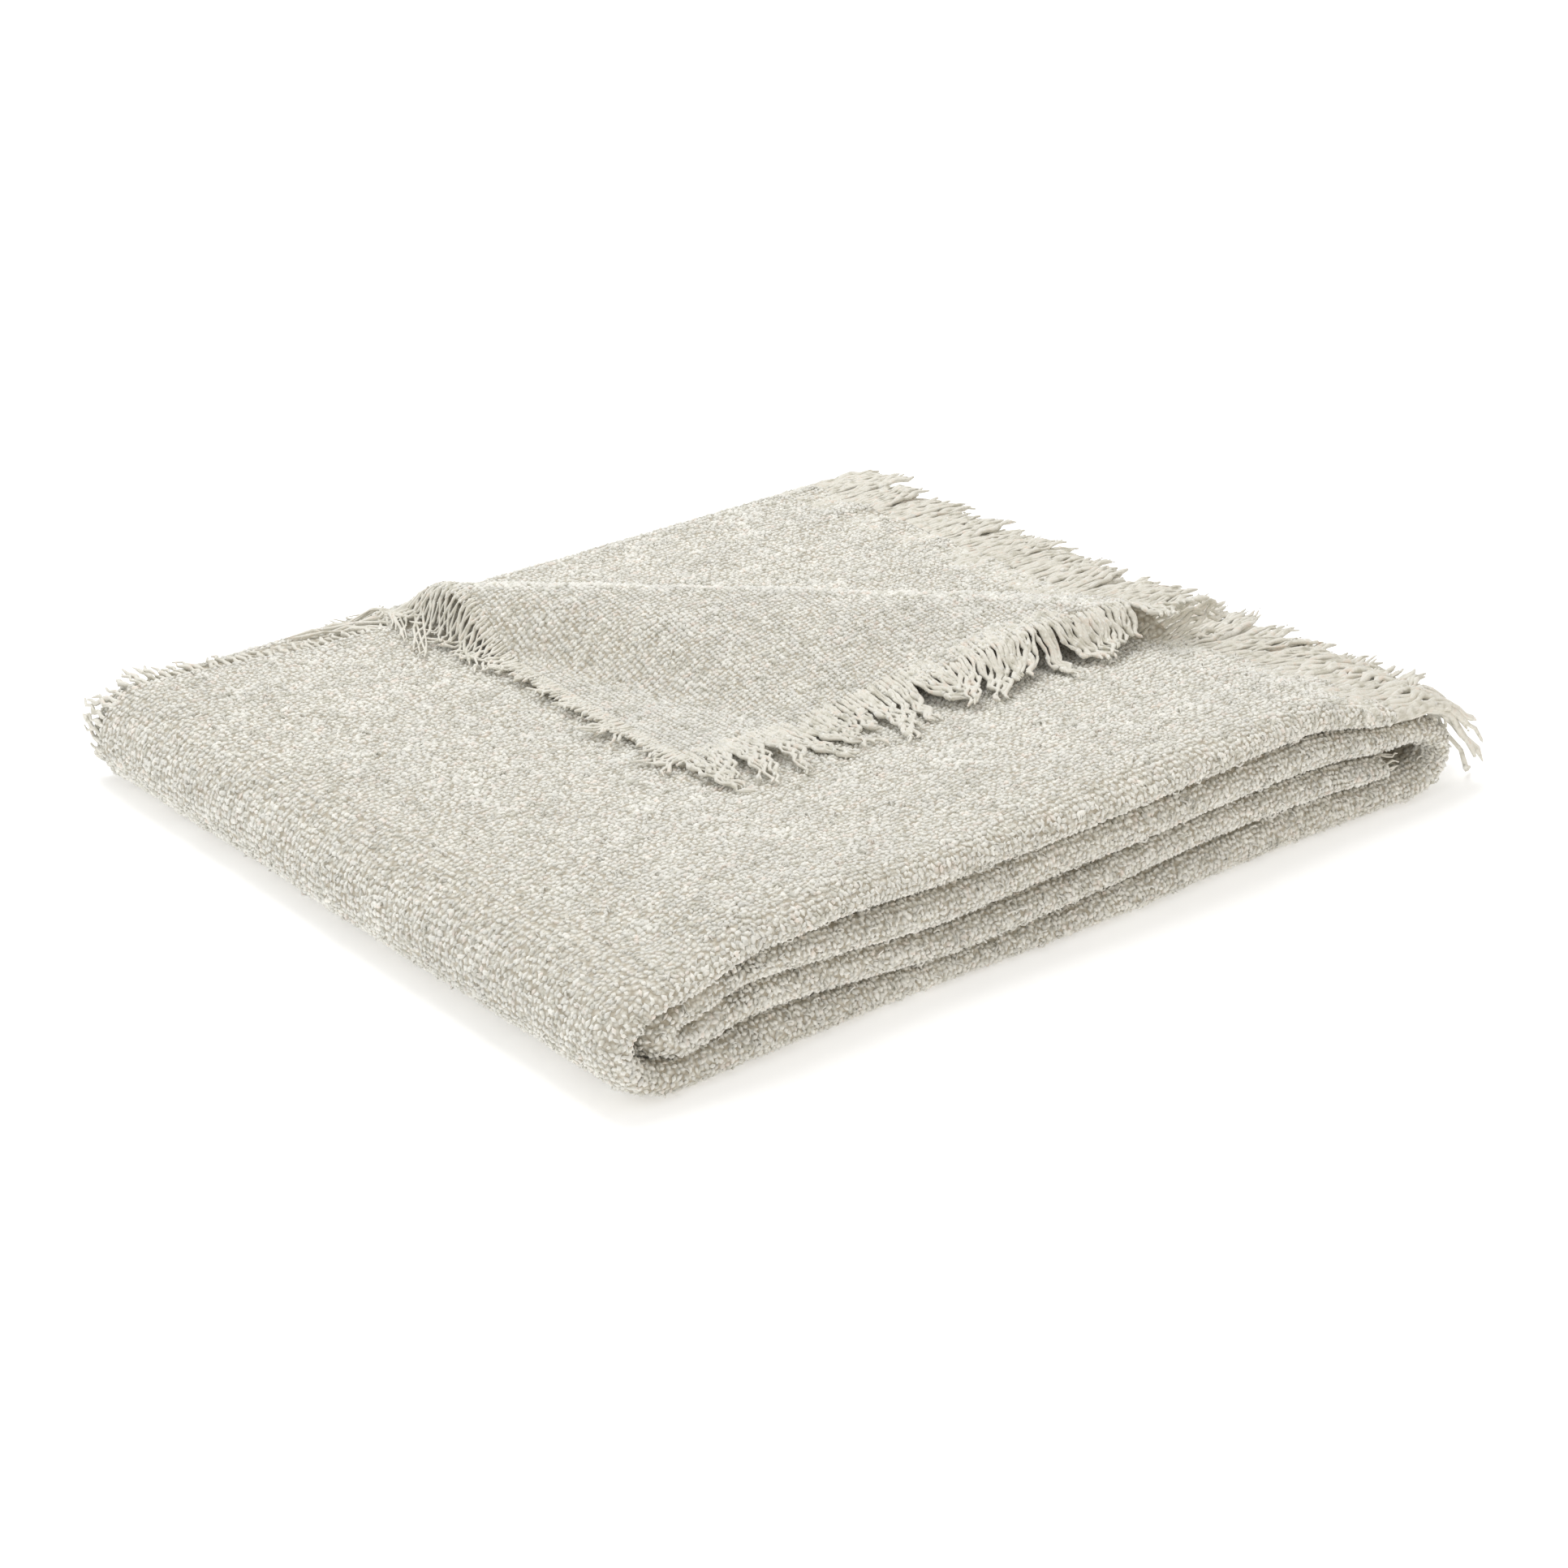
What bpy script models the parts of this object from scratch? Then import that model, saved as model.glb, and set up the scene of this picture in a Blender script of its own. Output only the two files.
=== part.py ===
"""A woven throw with frayed fringes, folded into a stack, one corner of its top layer turned back.

The sheet is laid out flat, s metres along its length and t metres across its width, and each flat
point is then carried to its folded place. X runs along the stack's front, Y to its back and Z up.
Across the width the cloth is rolled into four layers, whose two front folds show on the stack's
front. Along the length these four layers are rolled again into four bands, which lie on each other.
"""
import bisect
import math
from collections import namedtuple

import bmesh
import bpy
from mathutils import Vector

# Sizes of the cloth and its fringes
CLOTH = 0.0017
PART_GAP = 0.0005
STRIP_WIDTH = 0.0062
LONG_STRAND = 0.030
SHORT_STRAND = 0.009
HIDDEN_STRAND = 0.0105

# Sizes of the folded stack, from its front left corner
LEFT_TURN = 0.0235
RIGHT_TURN = 0.358
FRONT_TURN = 0.0105
BACK_TURN = 0.3195
OPEN_EDGE = 0.302
HIDDEN_EDGE = 0.300
OUTER_END = 0.346
INNER_END = 0.343
LAYERS = 4
BACK_PITCH = 0.00226

# How far each fold stands out past the line where its layers begin to turn. A wrap reaches
# further at the stack's front, by its bulge. The open edge spreads to the back at the left end.
OUTER_NOSE = 0.0090
INNER_NOSE = 0.0020
BACK_NOSE = 0.0045
NOSE_WAVE = 0.0012
NOSE_WAVELENGTH = 0.17
NOSE_WAVE_STAGGER = 1.9
OUTER_LEFT_REACH = 0.0145
OUTER_LEFT_BULGE = 0.0092
INNER_LEFT_REACH = 0.0046
INNER_LEFT_BULGE = 0.0070
RIGHT_REACH = 0.0125
RIGHT_BULGE = 0.0036
EDGE_SPREAD = 0.045
SPREAD_STOP_X = 0.092

# Thickness of each band at the front of the stack, at places along X
Station = namedtuple("Station", "x fourth third second first")
STATIONS = (
    Station(x=LEFT_TURN, fourth=0.0122, third=0.0096, second=0.0092, first=0.0096),
    Station(x=0.052, fourth=0.0160, third=0.0126, second=0.0101, first=0.0110),
    Station(x=0.092, fourth=0.0137, third=0.0121, second=0.0124, first=0.0124),
    Station(x=0.135, fourth=0.0106, third=0.0114, second=0.0142, first=0.0124),
    Station(x=0.210, fourth=0.0126, third=0.0108, second=0.0152, first=0.0122),
    Station(x=0.302, fourth=0.0164, third=0.0113, second=0.0135, first=0.0110),
    Station(x=RIGHT_TURN, fourth=0.0130, third=0.0094, second=0.0098, first=0.0086),
)

# Share of that puffed thickness which is left at places towards the back
Fade = namedtuple("Fade", "y share")
FADES = (
    Fade(y=FRONT_TURN, share=1.0),
    Fade(y=0.030, share=0.90),
    Fade(y=0.060, share=0.68),
    Fade(y=0.105, share=0.40),
    Fade(y=0.170, share=0.16),
    Fade(y=0.245, share=0.04),
    Fade(y=BACK_TURN, share=0.0),
)

# The turned back corner of the top layer: its crease runs from the side edge to the end edge
CREASE_SIDE_X = 0.105
CREASE_END_Y = 0.0655
CREASE_BOW = 0.012
CREASE_PULL = 0.020
PULL_FADE = 0.045
CORNER_LIFT = 0.0030
CORNER_SLOPE = 0.105
CORNER_SHEAR = 0.20
CORNER_SLACK = 0.88
ROLL_AT_SIDE = 0.0085
ROLL_AT_MIDDLE = 0.0115
ROLL_AT_END = 0.0062
ROLL_STEPS = 8
SLOPE_STEPS = (0.2, 0.45, 0.7, 1.0)
STRAND_DROOP = 0.0015
DROOP_LENGTH = 0.022
TANGENT_STEP = 0.0005
STRAND_RISE = 0.35

# The path across the width: each layer, and the fold that leads to the next one
Across = namedtuple("Across", "kind level next_level nose width")
ACROSS = (
    Across("layer", 1.5, 1.5, 0.0, OPEN_EDGE - FRONT_TURN),
    Across("front fold", 1.5, -1.5, OUTER_NOSE, 0.0232),
    Across("layer", -1.5, -1.5, 0.0, BACK_TURN - FRONT_TURN),
    Across("back fold", -1.5, 0.5, BACK_NOSE, 0.0111),
    Across("layer", 0.5, 0.5, 0.0, BACK_TURN - FRONT_TURN),
    Across("front fold", 0.5, -0.5, INNER_NOSE, 0.0083),
    Across("layer", -0.5, -0.5, 0.0, HIDDEN_EDGE - FRONT_TURN),
)
FOLD_STEPS = {OUTER_NOSE: 5, BACK_NOSE: 3, INNER_NOSE: 3}

# The path along the length, from the end that is rolled inside to the end on top
Along = namedtuple("Along", "kind band next_band reach bulge inner_bulge length steps")
ALONG = (
    Along("band", "third", "third", 0.0, 0.0, 0.0, INNER_END - LEFT_TURN, 0),
    Along("left wrap", "third", "second", INNER_LEFT_REACH, INNER_LEFT_BULGE, 0.0, 0.018, 5),
    Along("band", "second", "second", 0.0, 0.0, 0.0, RIGHT_TURN - LEFT_TURN, 0),
    Along("right wrap", "second", "fourth", RIGHT_REACH, RIGHT_BULGE, RIGHT_BULGE, 0.036, 7),
    Along("band", "fourth", "fourth", 0.0, 0.0, 0.0, RIGHT_TURN - LEFT_TURN, 0),
    Along("left wrap", "fourth", "first", OUTER_LEFT_REACH, OUTER_LEFT_BULGE, OUTER_LEFT_BULGE, 0.050, 7),
    Along("band", "first", "first", 0.0, 0.0, 0.0, OUTER_END - LEFT_TURN, 0),
)
STACK_ORDER = ("fourth", "third", "second", "first")
FACES_DOWN = ("fourth", "third")
CLOTH_WIDTH = sum(part.width for part in ACROSS)
CLOTH_LENGTH = sum(part.length for part in ALONG)
SPREAD_START = sum(part.length for part in ALONG[:4])

# Fringes: the edge that each one follows, where it starts and stops on that edge, and its strands
Fringe = namedtuple("Fringe", "name edge start stop pitch strand_width strand")
CREASE_S = CLOTH_LENGTH - (OUTER_END - CREASE_SIDE_X) + CREASE_BOW
CREASE_T = OPEN_EDGE - CREASE_END_Y - CREASE_BOW
FRINGES = (
    Fringe("side_fringe", "open side", 0.0, CREASE_S - PART_GAP, 0.014, 0.0050, SHORT_STRAND),
    Fringe("corner_side_fringe", "open side", CREASE_S, CLOTH_LENGTH, 0.014, 0.0050, SHORT_STRAND),
    Fringe("corner_end_fringe", "outer end", 0.0, CREASE_T, 0.010, 0.0040, LONG_STRAND),
    Fringe("end_fringe", "outer end", CREASE_T + PART_GAP, CLOTH_WIDTH, 0.010, 0.0040, LONG_STRAND),
    Fringe("hidden_side_fringe", "hidden side", 0.0, CLOTH_LENGTH, 0.055, 0.0050, SHORT_STRAND),
    Fringe("hidden_end_fringe", "inner end", 0.0, CLOTH_WIDTH, 0.055, 0.0050, HIDDEN_STRAND),
)
STRAND_TAPER = 0.55

# Finishes
Finish = namedtuple("Finish", "colour roughness")
CLOTH_FINISH = Finish(colour=(0.76, 0.74, 0.68), roughness=0.95)
FRINGE_FINISH = Finish(colour=(0.78, 0.75, 0.68), roughness=0.90)


def clear_scene():
    for item in list(bpy.data.objects):
        bpy.data.objects.remove(item, do_unlink=True)


def read_table(places, values, place):
    """Straight interpolation between the rows of a table, held at its two ends."""
    if place <= places[0]:
        return values[0]
    if place >= places[-1]:
        return values[-1]
    row = bisect.bisect_right(places, place) - 1
    share = (place - places[row]) / (places[row + 1] - places[row])
    return values[row] + share * (values[row + 1] - values[row])


STATION_X = [row.x for row in STATIONS]
FADE_Y = [row.y for row in FADES]
FADE_SHARE = [row.share for row in FADES]
BAND_THICKNESS = {band: [getattr(row, band) for row in STATIONS] for band in STACK_ORDER}


def layer_pitch(band, x, y):
    """Distance between the middles of two neighbouring layers of a band."""
    front_pitch = read_table(STATION_X, BAND_THICKNESS[band], x) / LAYERS
    puff = read_table(FADE_Y, FADE_SHARE, y)
    return BACK_PITCH + puff * (front_pitch - BACK_PITCH)


def band_middle(band, x, y):
    """Height of the middle of a band, which rests on the bands below it."""
    height = 0.5 * CLOTH - 0.5 * layer_pitch(STACK_ORDER[0], x, y)
    for lower in STACK_ORDER:
        thickness = LAYERS * layer_pitch(lower, x, y)
        if lower == band:
            return height + 0.5 * thickness
        height += thickness
    raise ValueError("no such band: " + band)


def find_part(parts, sizes, distance):
    """The part of a path that holds a distance, and how far into it that distance lies."""
    last = len(parts) - 1
    for number, part in enumerate(parts):
        if distance <= sizes[number] or number == last:
            return part, distance
        distance -= sizes[number]
    raise ValueError("empty path")


ACROSS_SIZES = [part.width for part in ACROSS]
ACROSS_TURNS = [FOLD_STEPS.get(part.nose, 0) for part in ACROSS]
ALONG_SIZES = [part.length for part in ALONG]
ALONG_TURNS = [part.steps for part in ALONG]
JUST_INSIDE = 1e-9
ON_CUT = 1e-6
ON_STRAND = 1e-5


def place_across(t, wave):
    """Level in the band, in layer pitches from its middle, and Y of a point across the width."""
    part, inside = find_part(ACROSS, ACROSS_SIZES, t)
    if part.kind == "layer":
        if part.level == ACROSS[0].level:
            return part.level, OPEN_EDGE - inside
        if part.level == ACROSS[2].level or part.level == ACROSS[-1].level:
            return part.level, FRONT_TURN + inside
        return part.level, BACK_TURN - inside
    angle = math.pi * inside / part.width
    middle = 0.5 * (part.level + part.next_level)
    level = middle + 0.5 * (part.level - part.next_level) * math.cos(angle)
    nose = part.nose * math.sin(angle)
    if part.kind == "back fold":
        return level, BACK_TURN + nose
    if part.nose == OUTER_NOSE:
        nose += wave * math.sin(angle)
    return level, FRONT_TURN - nose


def nose_wave(band, x):
    """Small change of the front fold's reach along a band, so that the bands aren't in line."""
    phase = NOSE_WAVE_STAGGER * STACK_ORDER.index(band)
    return NOSE_WAVE * math.sin(math.tau * x / NOSE_WAVELENGTH + phase)


def place_along(s):
    """Part of the length that holds s, its X, and the angle if it is in a wrap."""
    part, inside = find_part(ALONG, ALONG_SIZES, s)
    if part.kind == "left wrap":
        return part, LEFT_TURN, math.pi * inside / part.length
    if part.kind == "right wrap":
        return part, RIGHT_TURN, math.pi * (1.0 - inside / part.length)
    if part.band == "third":
        return part, INNER_END - inside, 0.0
    if part.band == "fourth":
        return part, RIGHT_TURN - inside, 0.0
    return part, LEFT_TURN + inside, 0.0


def spread_edge(x, y):
    """Y of a point of the layer with the open edge, which spreads to the back at the left end."""
    share = min(max((SPREAD_STOP_X - x) / (SPREAD_STOP_X - LEFT_TURN), 0.0), 1.0)
    return FRONT_TURN + (y - FRONT_TURN) * (1.0 + EDGE_SPREAD * share)


def droop(band, x, y):
    """Fall of the long strands on top, past the right turn and near the stack's front."""
    if band != "first" or x <= RIGHT_TURN:
        return 0.0
    past = (x - RIGHT_TURN) / DROOP_LENGTH
    return STRAND_DROOP * past * past * read_table(FADE_Y, FADE_SHARE, y)


def stacked_place(s, t):
    """Place of a point of the sheet in the stack, before the corner is turned back."""
    part, x, angle = place_along(s)
    wave = nose_wave(part.band, x)
    spreads = t <= ACROSS[0].width and s >= SPREAD_START
    if part.kind != "band":
        share = angle / math.pi
        lower, upper = part.band, part.next_band
        if part.kind == "right wrap":
            lower, upper = part.next_band, part.band
        wave = (1.0 - share) * nose_wave(lower, x) + share * nose_wave(upper, x)
        level, y = place_across(t, wave)
        if spreads:
            y = spread_edge(x, y)
        pitch = (1.0 - share) * layer_pitch(lower, x, y) + share * layer_pitch(upper, x, y)
        low, high = band_middle(lower, x, y), band_middle(upper, x, y)
        rise = 0.5 * (high - low) + level * pitch
        nearness = min(max((BACK_TURN - y) / (BACK_TURN - FRONT_TURN), 0.0), 1.0)
        outermost = (level - ACROSS[2].level) / (ACROSS[0].level - ACROSS[2].level)
        bulge = part.inner_bulge + (part.bulge - part.inner_bulge) * outermost
        reach = (part.reach + bulge * nearness + level * pitch) * math.sin(angle)
        z = 0.5 * (low + high) - rise * math.cos(angle)
        return Vector((x - reach if part.kind == "left wrap" else x + reach, y, z))
    level, y = place_across(t, wave)
    if spreads:
        y = spread_edge(x, y)
    side = -1.0 if part.band in FACES_DOWN else 1.0
    pitch = layer_pitch(part.band, x, y)
    z = band_middle(part.band, x, y) + side * level * pitch - droop(part.band, x, y)
    return Vector((x, y, z))


CREASE_FOOT = Vector((CREASE_SIDE_X, OPEN_EDGE))
CREASE_RUN = Vector((OUTER_END, CREASE_END_Y)) - CREASE_FOOT
CREASE_WAY = CREASE_RUN.normalized()
CREASE_OUT = Vector((-CREASE_WAY.y, CREASE_WAY.x))


def top_layer_height(x, y):
    return band_middle("first", x, y) + ACROSS[0].level * layer_pitch("first", x, y) - droop("first", x, y)


def crease_share(along):
    return min(max(along / CREASE_RUN.length, 0.0), 1.0)


def roll_radius(along):
    share = crease_share(along)
    plain = ROLL_AT_SIDE + (ROLL_AT_END - ROLL_AT_SIDE) * share
    swell = ROLL_AT_MIDDLE - 0.5 * (ROLL_AT_SIDE + ROLL_AT_END)
    return plain + swell * math.sin(math.pi * share)


def past_crease(x, y):
    """Distance of a flat point along the bowed crease and past it."""
    offset = Vector((x, y)) - CREASE_FOOT
    along = offset.dot(CREASE_WAY)
    bow = CREASE_BOW * (1.0 - math.sin(math.pi * crease_share(along)))
    return along, offset.dot(CREASE_OUT) - bow, bow


def rolled_place(x, y):
    """Place of a woven point of the top layer after its corner is rolled back over the crease."""
    along, past, bow = past_crease(x, y)
    pull = CREASE_PULL * crease_share(along) ** 2 * min(max(1.0 + past / PULL_FADE, 0.0), 1.0)
    radius = roll_radius(along)
    half_turn = math.pi * radius
    lift = 0.0
    out = past
    if 0.0 < past < half_turn:
        out = radius * math.sin(past / radius)
        lift = radius * (1.0 - math.cos(past / radius))
    elif past >= half_turn:
        out = CORNER_SLACK * (half_turn - past)
        ease = 0.5 * (1.0 + math.cos(math.pi * min((past - half_turn) / CORNER_SLOPE, 1.0)))
        lift = CORNER_LIFT + (2.0 * radius - CORNER_LIFT) * ease
    shift = pull
    if past > 0.0:
        shift += CORNER_SHEAR * past * past / (past + 0.5 * half_turn)
    flat = CREASE_FOOT + CREASE_WAY * (along - shift) + CREASE_OUT * (bow + out)
    return Vector((flat.x, flat.y, top_layer_height(flat.x, flat.y) + lift))


def turned_place(x, y):
    """Place of a point of the top layer or of its fringes, which run straight off the roll."""
    edge_x, edge_y = min(x, OUTER_END), min(y, spread_edge(x, OPEN_EDGE))
    if edge_x == x and edge_y == y:
        return rolled_place(x, y)
    along, past, _ = past_crease(edge_x, edge_y)
    edge = rolled_place(edge_x, edge_y)
    if past >= math.pi * roll_radius(along):
        return rolled_place(x, y)
    if past <= 0.0:
        flat = Vector((edge.x + x - edge_x, edge.y + y - edge_y))
        return Vector((flat.x, flat.y, top_layer_height(flat.x, flat.y)))
    inner_x = edge_x - TANGENT_STEP if x > edge_x else edge_x
    inner_y = edge_y - TANGENT_STEP if y > edge_y else edge_y
    tangent = edge - rolled_place(inner_x, inner_y)
    tangent.z *= STRAND_RISE
    return edge + tangent.normalized() * max(x - edge_x, y - edge_y)


def folded_place(s, t):
    on_top_band = s >= CLOTH_LENGTH - ALONG[-1].length
    on_top_layer = t <= ACROSS[0].width
    if on_top_band and on_top_layer:
        x = OUTER_END - (CLOTH_LENGTH - s)
        return turned_place(x, spread_edge(x, OPEN_EDGE - t))
    return stacked_place(s, t)


def path_steps(sizes, turns, marks, position):
    """Flat distances along a path where the sheet gets a row of points.

    A turning part has evenly spaced rows, and a flat one has a row at each mark that it passes.
    """
    steps = [0.0]
    start = 0.0
    for size, count in zip(sizes, turns):
        if count:
            steps += [start + size * step / count for step in range(1, count)]
        else:
            first, last = position(start + JUST_INSIDE), position(start + size - JUST_INSIDE)
            low, high = min(first, last) + CLOTH, max(first, last) - CLOTH
            steps += sorted(start + abs(mark - first) for mark in marks if low < mark < high)
        start += size
        steps.append(start)
    return steps


def flat_grid(bm, first_steps, second_steps):
    """A flat grid whose rows and columns lie at the given distances."""
    first_cells, second_cells = len(first_steps) - 1, len(second_steps) - 1
    bmesh.ops.create_grid(bm, x_segments=first_cells, y_segments=second_cells, size=0.5)
    for vertex in bm.verts:
        column = round((vertex.co.x + 0.5) * first_cells)
        row = round((vertex.co.y + 0.5) * second_cells)
        vertex.co = (first_steps[column], second_steps[row], 0.0)


def cut_along_crease(bm):
    """Adds rows of points to the top layer, parallel to the crease, where the corner rolls back."""
    half_turn = math.pi * ROLL_AT_MIDDLE + CREASE_BOW
    cuts = [CREASE_BOW - PULL_FADE]
    cuts += [half_turn * step / ROLL_STEPS for step in range(ROLL_STEPS + 1)]
    cuts += [half_turn + CORNER_SLOPE * share for share in SLOPE_STEPS]
    top_start = CLOTH_LENGTH - ALONG[-1].length
    to_flat = Vector((CREASE_OUT.x, -CREASE_OUT.y, 0.0))
    for distance in cuts:
        point = CREASE_FOOT + CREASE_OUT * distance
        flat_point = Vector((CLOTH_LENGTH - OUTER_END + point.x, OPEN_EDGE - point.y, 0.0))
        faces = [
            face for face in bm.faces
            if face.calc_center_median().x > top_start and face.calc_center_median().y < ACROSS[0].width
        ]
        verts = list(dict.fromkeys(vertex for face in faces for vertex in face.verts))
        edges = list(dict.fromkeys(edge for face in faces for edge in face.edges))
        bmesh.ops.bisect_plane(
            bm, geom=verts + edges + faces, dist=ON_CUT, plane_co=flat_point, plane_no=to_flat
        )


def fold_sheet(bm):
    for vertex in bm.verts:
        vertex.co = folded_place(vertex.co.x, vertex.co.y)


def fringe_point(edge, along, out):
    """Flat place of a fringe's point, a distance along its edge and a distance outside it."""
    clear = PART_GAP + out
    if edge == "outer end":
        return CLOTH_LENGTH + clear, along
    if edge == "inner end":
        return -clear, along
    if edge == "open side":
        return along, -clear
    return along, CLOTH_WIDTH + clear


def edge_sections(edge):
    """Start, size and number of turning steps of each part of the path that an edge follows."""
    sizes, turns = ALONG_SIZES, ALONG_TURNS
    if edge in ("outer end", "inner end"):
        sizes, turns = ACROSS_SIZES, ACROSS_TURNS
    starts = [sum(sizes[:number]) for number in range(len(sizes))]
    return zip(starts, sizes, turns)


def edge_cells(fringe):
    """Ends of the strip's cells along its edge, and the cells that carry a strand."""
    stops = [fringe.start]
    carriers = []
    for start, size, turning in edge_sections(fringe.edge):
        low, high = max(start, fringe.start), min(start + size, fringe.stop)
        if high - low < ON_CUT:
            continue
        if turning:
            for step in range(turning):
                if step % 2 == 1:
                    carriers.append(len(stops) - 1)
                stops.append(start + size * (step + 1) / turning)
            continue
        count = max(1, round((high - low) / fringe.pitch))
        pitch = (high - low) / count
        for number in range(count):
            middle = low + pitch * (number + 0.5)
            stops.append(middle - 0.5 * fringe.strand_width)
            carriers.append(len(stops) - 1)
            stops.append(middle + 0.5 * fringe.strand_width)
        stops.append(high)
    return stops, carriers


def comb(bm, fringe):
    """A flat strip along the cloth's edge with a tapering strand on each carrying cell."""
    stops, carriers = edge_cells(fringe)
    flat_grid(bm, stops, [0.0, STRIP_WIDTH])
    middles = [0.5 * (stops[cell] + stops[cell + 1]) for cell in carriers]
    for edge in [item for item in bm.edges if item.is_boundary]:
        centre = 0.5 * (edge.verts[0].co + edge.verts[1].co)
        nearest = min(middles, key=lambda place: abs(place - centre.x))
        if centre.y < STRIP_WIDTH - ON_CUT or abs(centre.x - nearest) > ON_STRAND:
            continue
        added = bmesh.ops.extrude_edge_only(bm, edges=[edge])["geom"]
        for vertex in [item for item in added if isinstance(item, bmesh.types.BMVert)]:
            vertex.co.x = nearest + STRAND_TAPER * (vertex.co.x - nearest)
            vertex.co.y += fringe.strand


def fold_fringe(bm, fringe):
    for vertex in bm.verts:
        s, t = fringe_point(fringe.edge, vertex.co.x, vertex.co.y)
        vertex.co = folded_place(s, t)


def make_material(name, finish):
    material = bpy.data.materials.new(name)
    material.use_nodes = True
    shader = material.node_tree.nodes["Principled BSDF"]
    shader.inputs["Base Color"].default_value = (*finish.colour, 1.0)
    shader.inputs["Roughness"].default_value = finish.roughness
    shader.inputs["Metallic"].default_value = 0.0
    return material


def add_sheet(name, bm, finish, collection):
    """Makes an object of an open surface and gives it the cloth's thickness."""
    bmesh.ops.recalc_face_normals(bm, faces=list(bm.faces))
    mesh = bpy.data.meshes.new(name)
    bm.to_mesh(mesh)
    bm.free()
    item = bpy.data.objects.new(name, mesh)
    collection.objects.link(item)
    mesh.materials.append(make_material(name, finish))
    thickness = item.modifiers.new("Cloth thickness", "SOLIDIFY")
    thickness.thickness = CLOTH
    thickness.offset = 0.0
    return item


def make_cloth(collection):
    bm = bmesh.new()
    rows_along = path_steps(ALONG_SIZES, ALONG_TURNS, STATION_X, lambda s: place_along(s)[1])
    rows_across = path_steps(ACROSS_SIZES, ACROSS_TURNS, FADE_Y, lambda t: place_across(t, 0.0)[1])
    flat_grid(bm, rows_along, rows_across)
    cut_along_crease(bm)
    fold_sheet(bm)
    return add_sheet("cloth", bm, CLOTH_FINISH, collection)


def make_fringe(fringe, collection):
    bm = bmesh.new()
    comb(bm, fringe)
    fold_fringe(bm, fringe)
    return add_sheet(fringe.name, bm, FRINGE_FINISH, collection)


def centre_on_origin(items):
    """Puts the middle of the whole stack's underside on the origin."""
    bpy.context.view_layer.update()
    depsgraph = bpy.context.evaluated_depsgraph_get()
    corners = [Vector(corner) for item in items for corner in item.evaluated_get(depsgraph).bound_box]
    middle_x = 0.5 * (min(corner.x for corner in corners) + max(corner.x for corner in corners))
    middle_y = 0.5 * (min(corner.y for corner in corners) + max(corner.y for corner in corners))
    for item in items:
        item.location = (-middle_x, -middle_y, 0.0)


def main():
    clear_scene()
    collection = bpy.data.collections.new("folded_throw")
    bpy.context.scene.collection.children.link(collection)
    items = [make_cloth(collection)]
    items += [make_fringe(fringe, collection) for fringe in FRINGES]
    centre_on_origin(items)


main()
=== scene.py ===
import math
from collections import namedtuple

import bpy
import numpy as np
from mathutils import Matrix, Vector


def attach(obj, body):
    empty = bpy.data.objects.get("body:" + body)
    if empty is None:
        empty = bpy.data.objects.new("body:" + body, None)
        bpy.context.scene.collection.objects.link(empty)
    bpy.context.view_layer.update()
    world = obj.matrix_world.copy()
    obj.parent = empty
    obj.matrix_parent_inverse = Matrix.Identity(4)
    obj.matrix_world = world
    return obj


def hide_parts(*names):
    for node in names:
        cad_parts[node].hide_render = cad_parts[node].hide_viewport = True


# The looks of a loosely woven throw, folded into a stack, one corner of its top layer turned back.
# The sheet is laid out flat, s metres along its length and t metres across its width, and each flat
# point is then carried to its folded place. X runs along the stack's front, Y to its back, Z up.
bl_info = {
    "name": "Folded Throw",
    "version": (1, 0, 0),
    "blender": (4, 5, 0),
    "location": "3D View > Sidebar > Throw",
    "description": "Makes the woven sheet, loop yarn and frayed fringes of a folded throw",
    "category": "Object",
}

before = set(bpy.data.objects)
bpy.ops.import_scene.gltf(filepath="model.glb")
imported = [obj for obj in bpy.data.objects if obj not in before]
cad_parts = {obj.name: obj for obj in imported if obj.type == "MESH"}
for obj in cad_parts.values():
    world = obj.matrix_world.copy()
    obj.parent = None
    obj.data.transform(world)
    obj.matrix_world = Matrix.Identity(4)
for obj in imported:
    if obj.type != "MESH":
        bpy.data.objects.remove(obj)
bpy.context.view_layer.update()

# Sizes of the cloth and its fringes
CLOTH = 0.0017
LONG_FRINGE = 0.0367
SHORT_FRINGE = 0.0150
HIDDEN_FRINGE = 0.0165

# Sizes of the folded stack, from its front left corner
FOOTPRINT_MIDDLE = (0.1892, 0.1658)
LEFT_TURN = 0.0235
RIGHT_TURN = 0.358
FRONT_TURN = 0.0105
BACK_TURN = 0.3195
OPEN_EDGE = 0.302
HIDDEN_EDGE = 0.300
OUTER_END = 0.346
INNER_END = 0.343
LAYERS = 4
BACK_PITCH = 0.00226

# How far each fold stands out past the line where its layers begin to turn. A wrap reaches
# further at the stack's front, by its bulge. The open edge spreads to the back at the left end.
OUTER_NOSE = 0.0090
INNER_NOSE = 0.0020
BACK_NOSE = 0.0045
NOSE_WAVE = 0.0012
NOSE_WAVELENGTH = 0.17
NOSE_WAVE_STAGGER = 1.9
OUTER_LEFT_REACH = 0.0145
OUTER_LEFT_BULGE = 0.0092
INNER_LEFT_REACH = 0.0046
INNER_LEFT_BULGE = 0.0070
RIGHT_REACH = 0.0125
RIGHT_BULGE = 0.0036
EDGE_SPREAD = 0.045
SPREAD_STOP_X = 0.092

# How much of the sheet's width or length goes round each fold
OUTER_FOLD_WIDTH = 0.0232
BACK_FOLD_WIDTH = 0.0111
INNER_FOLD_WIDTH = 0.0083
INNER_WRAP_LENGTH = 0.018
RIGHT_WRAP_LENGTH = 0.036
OUTER_WRAP_LENGTH = 0.050

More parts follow.
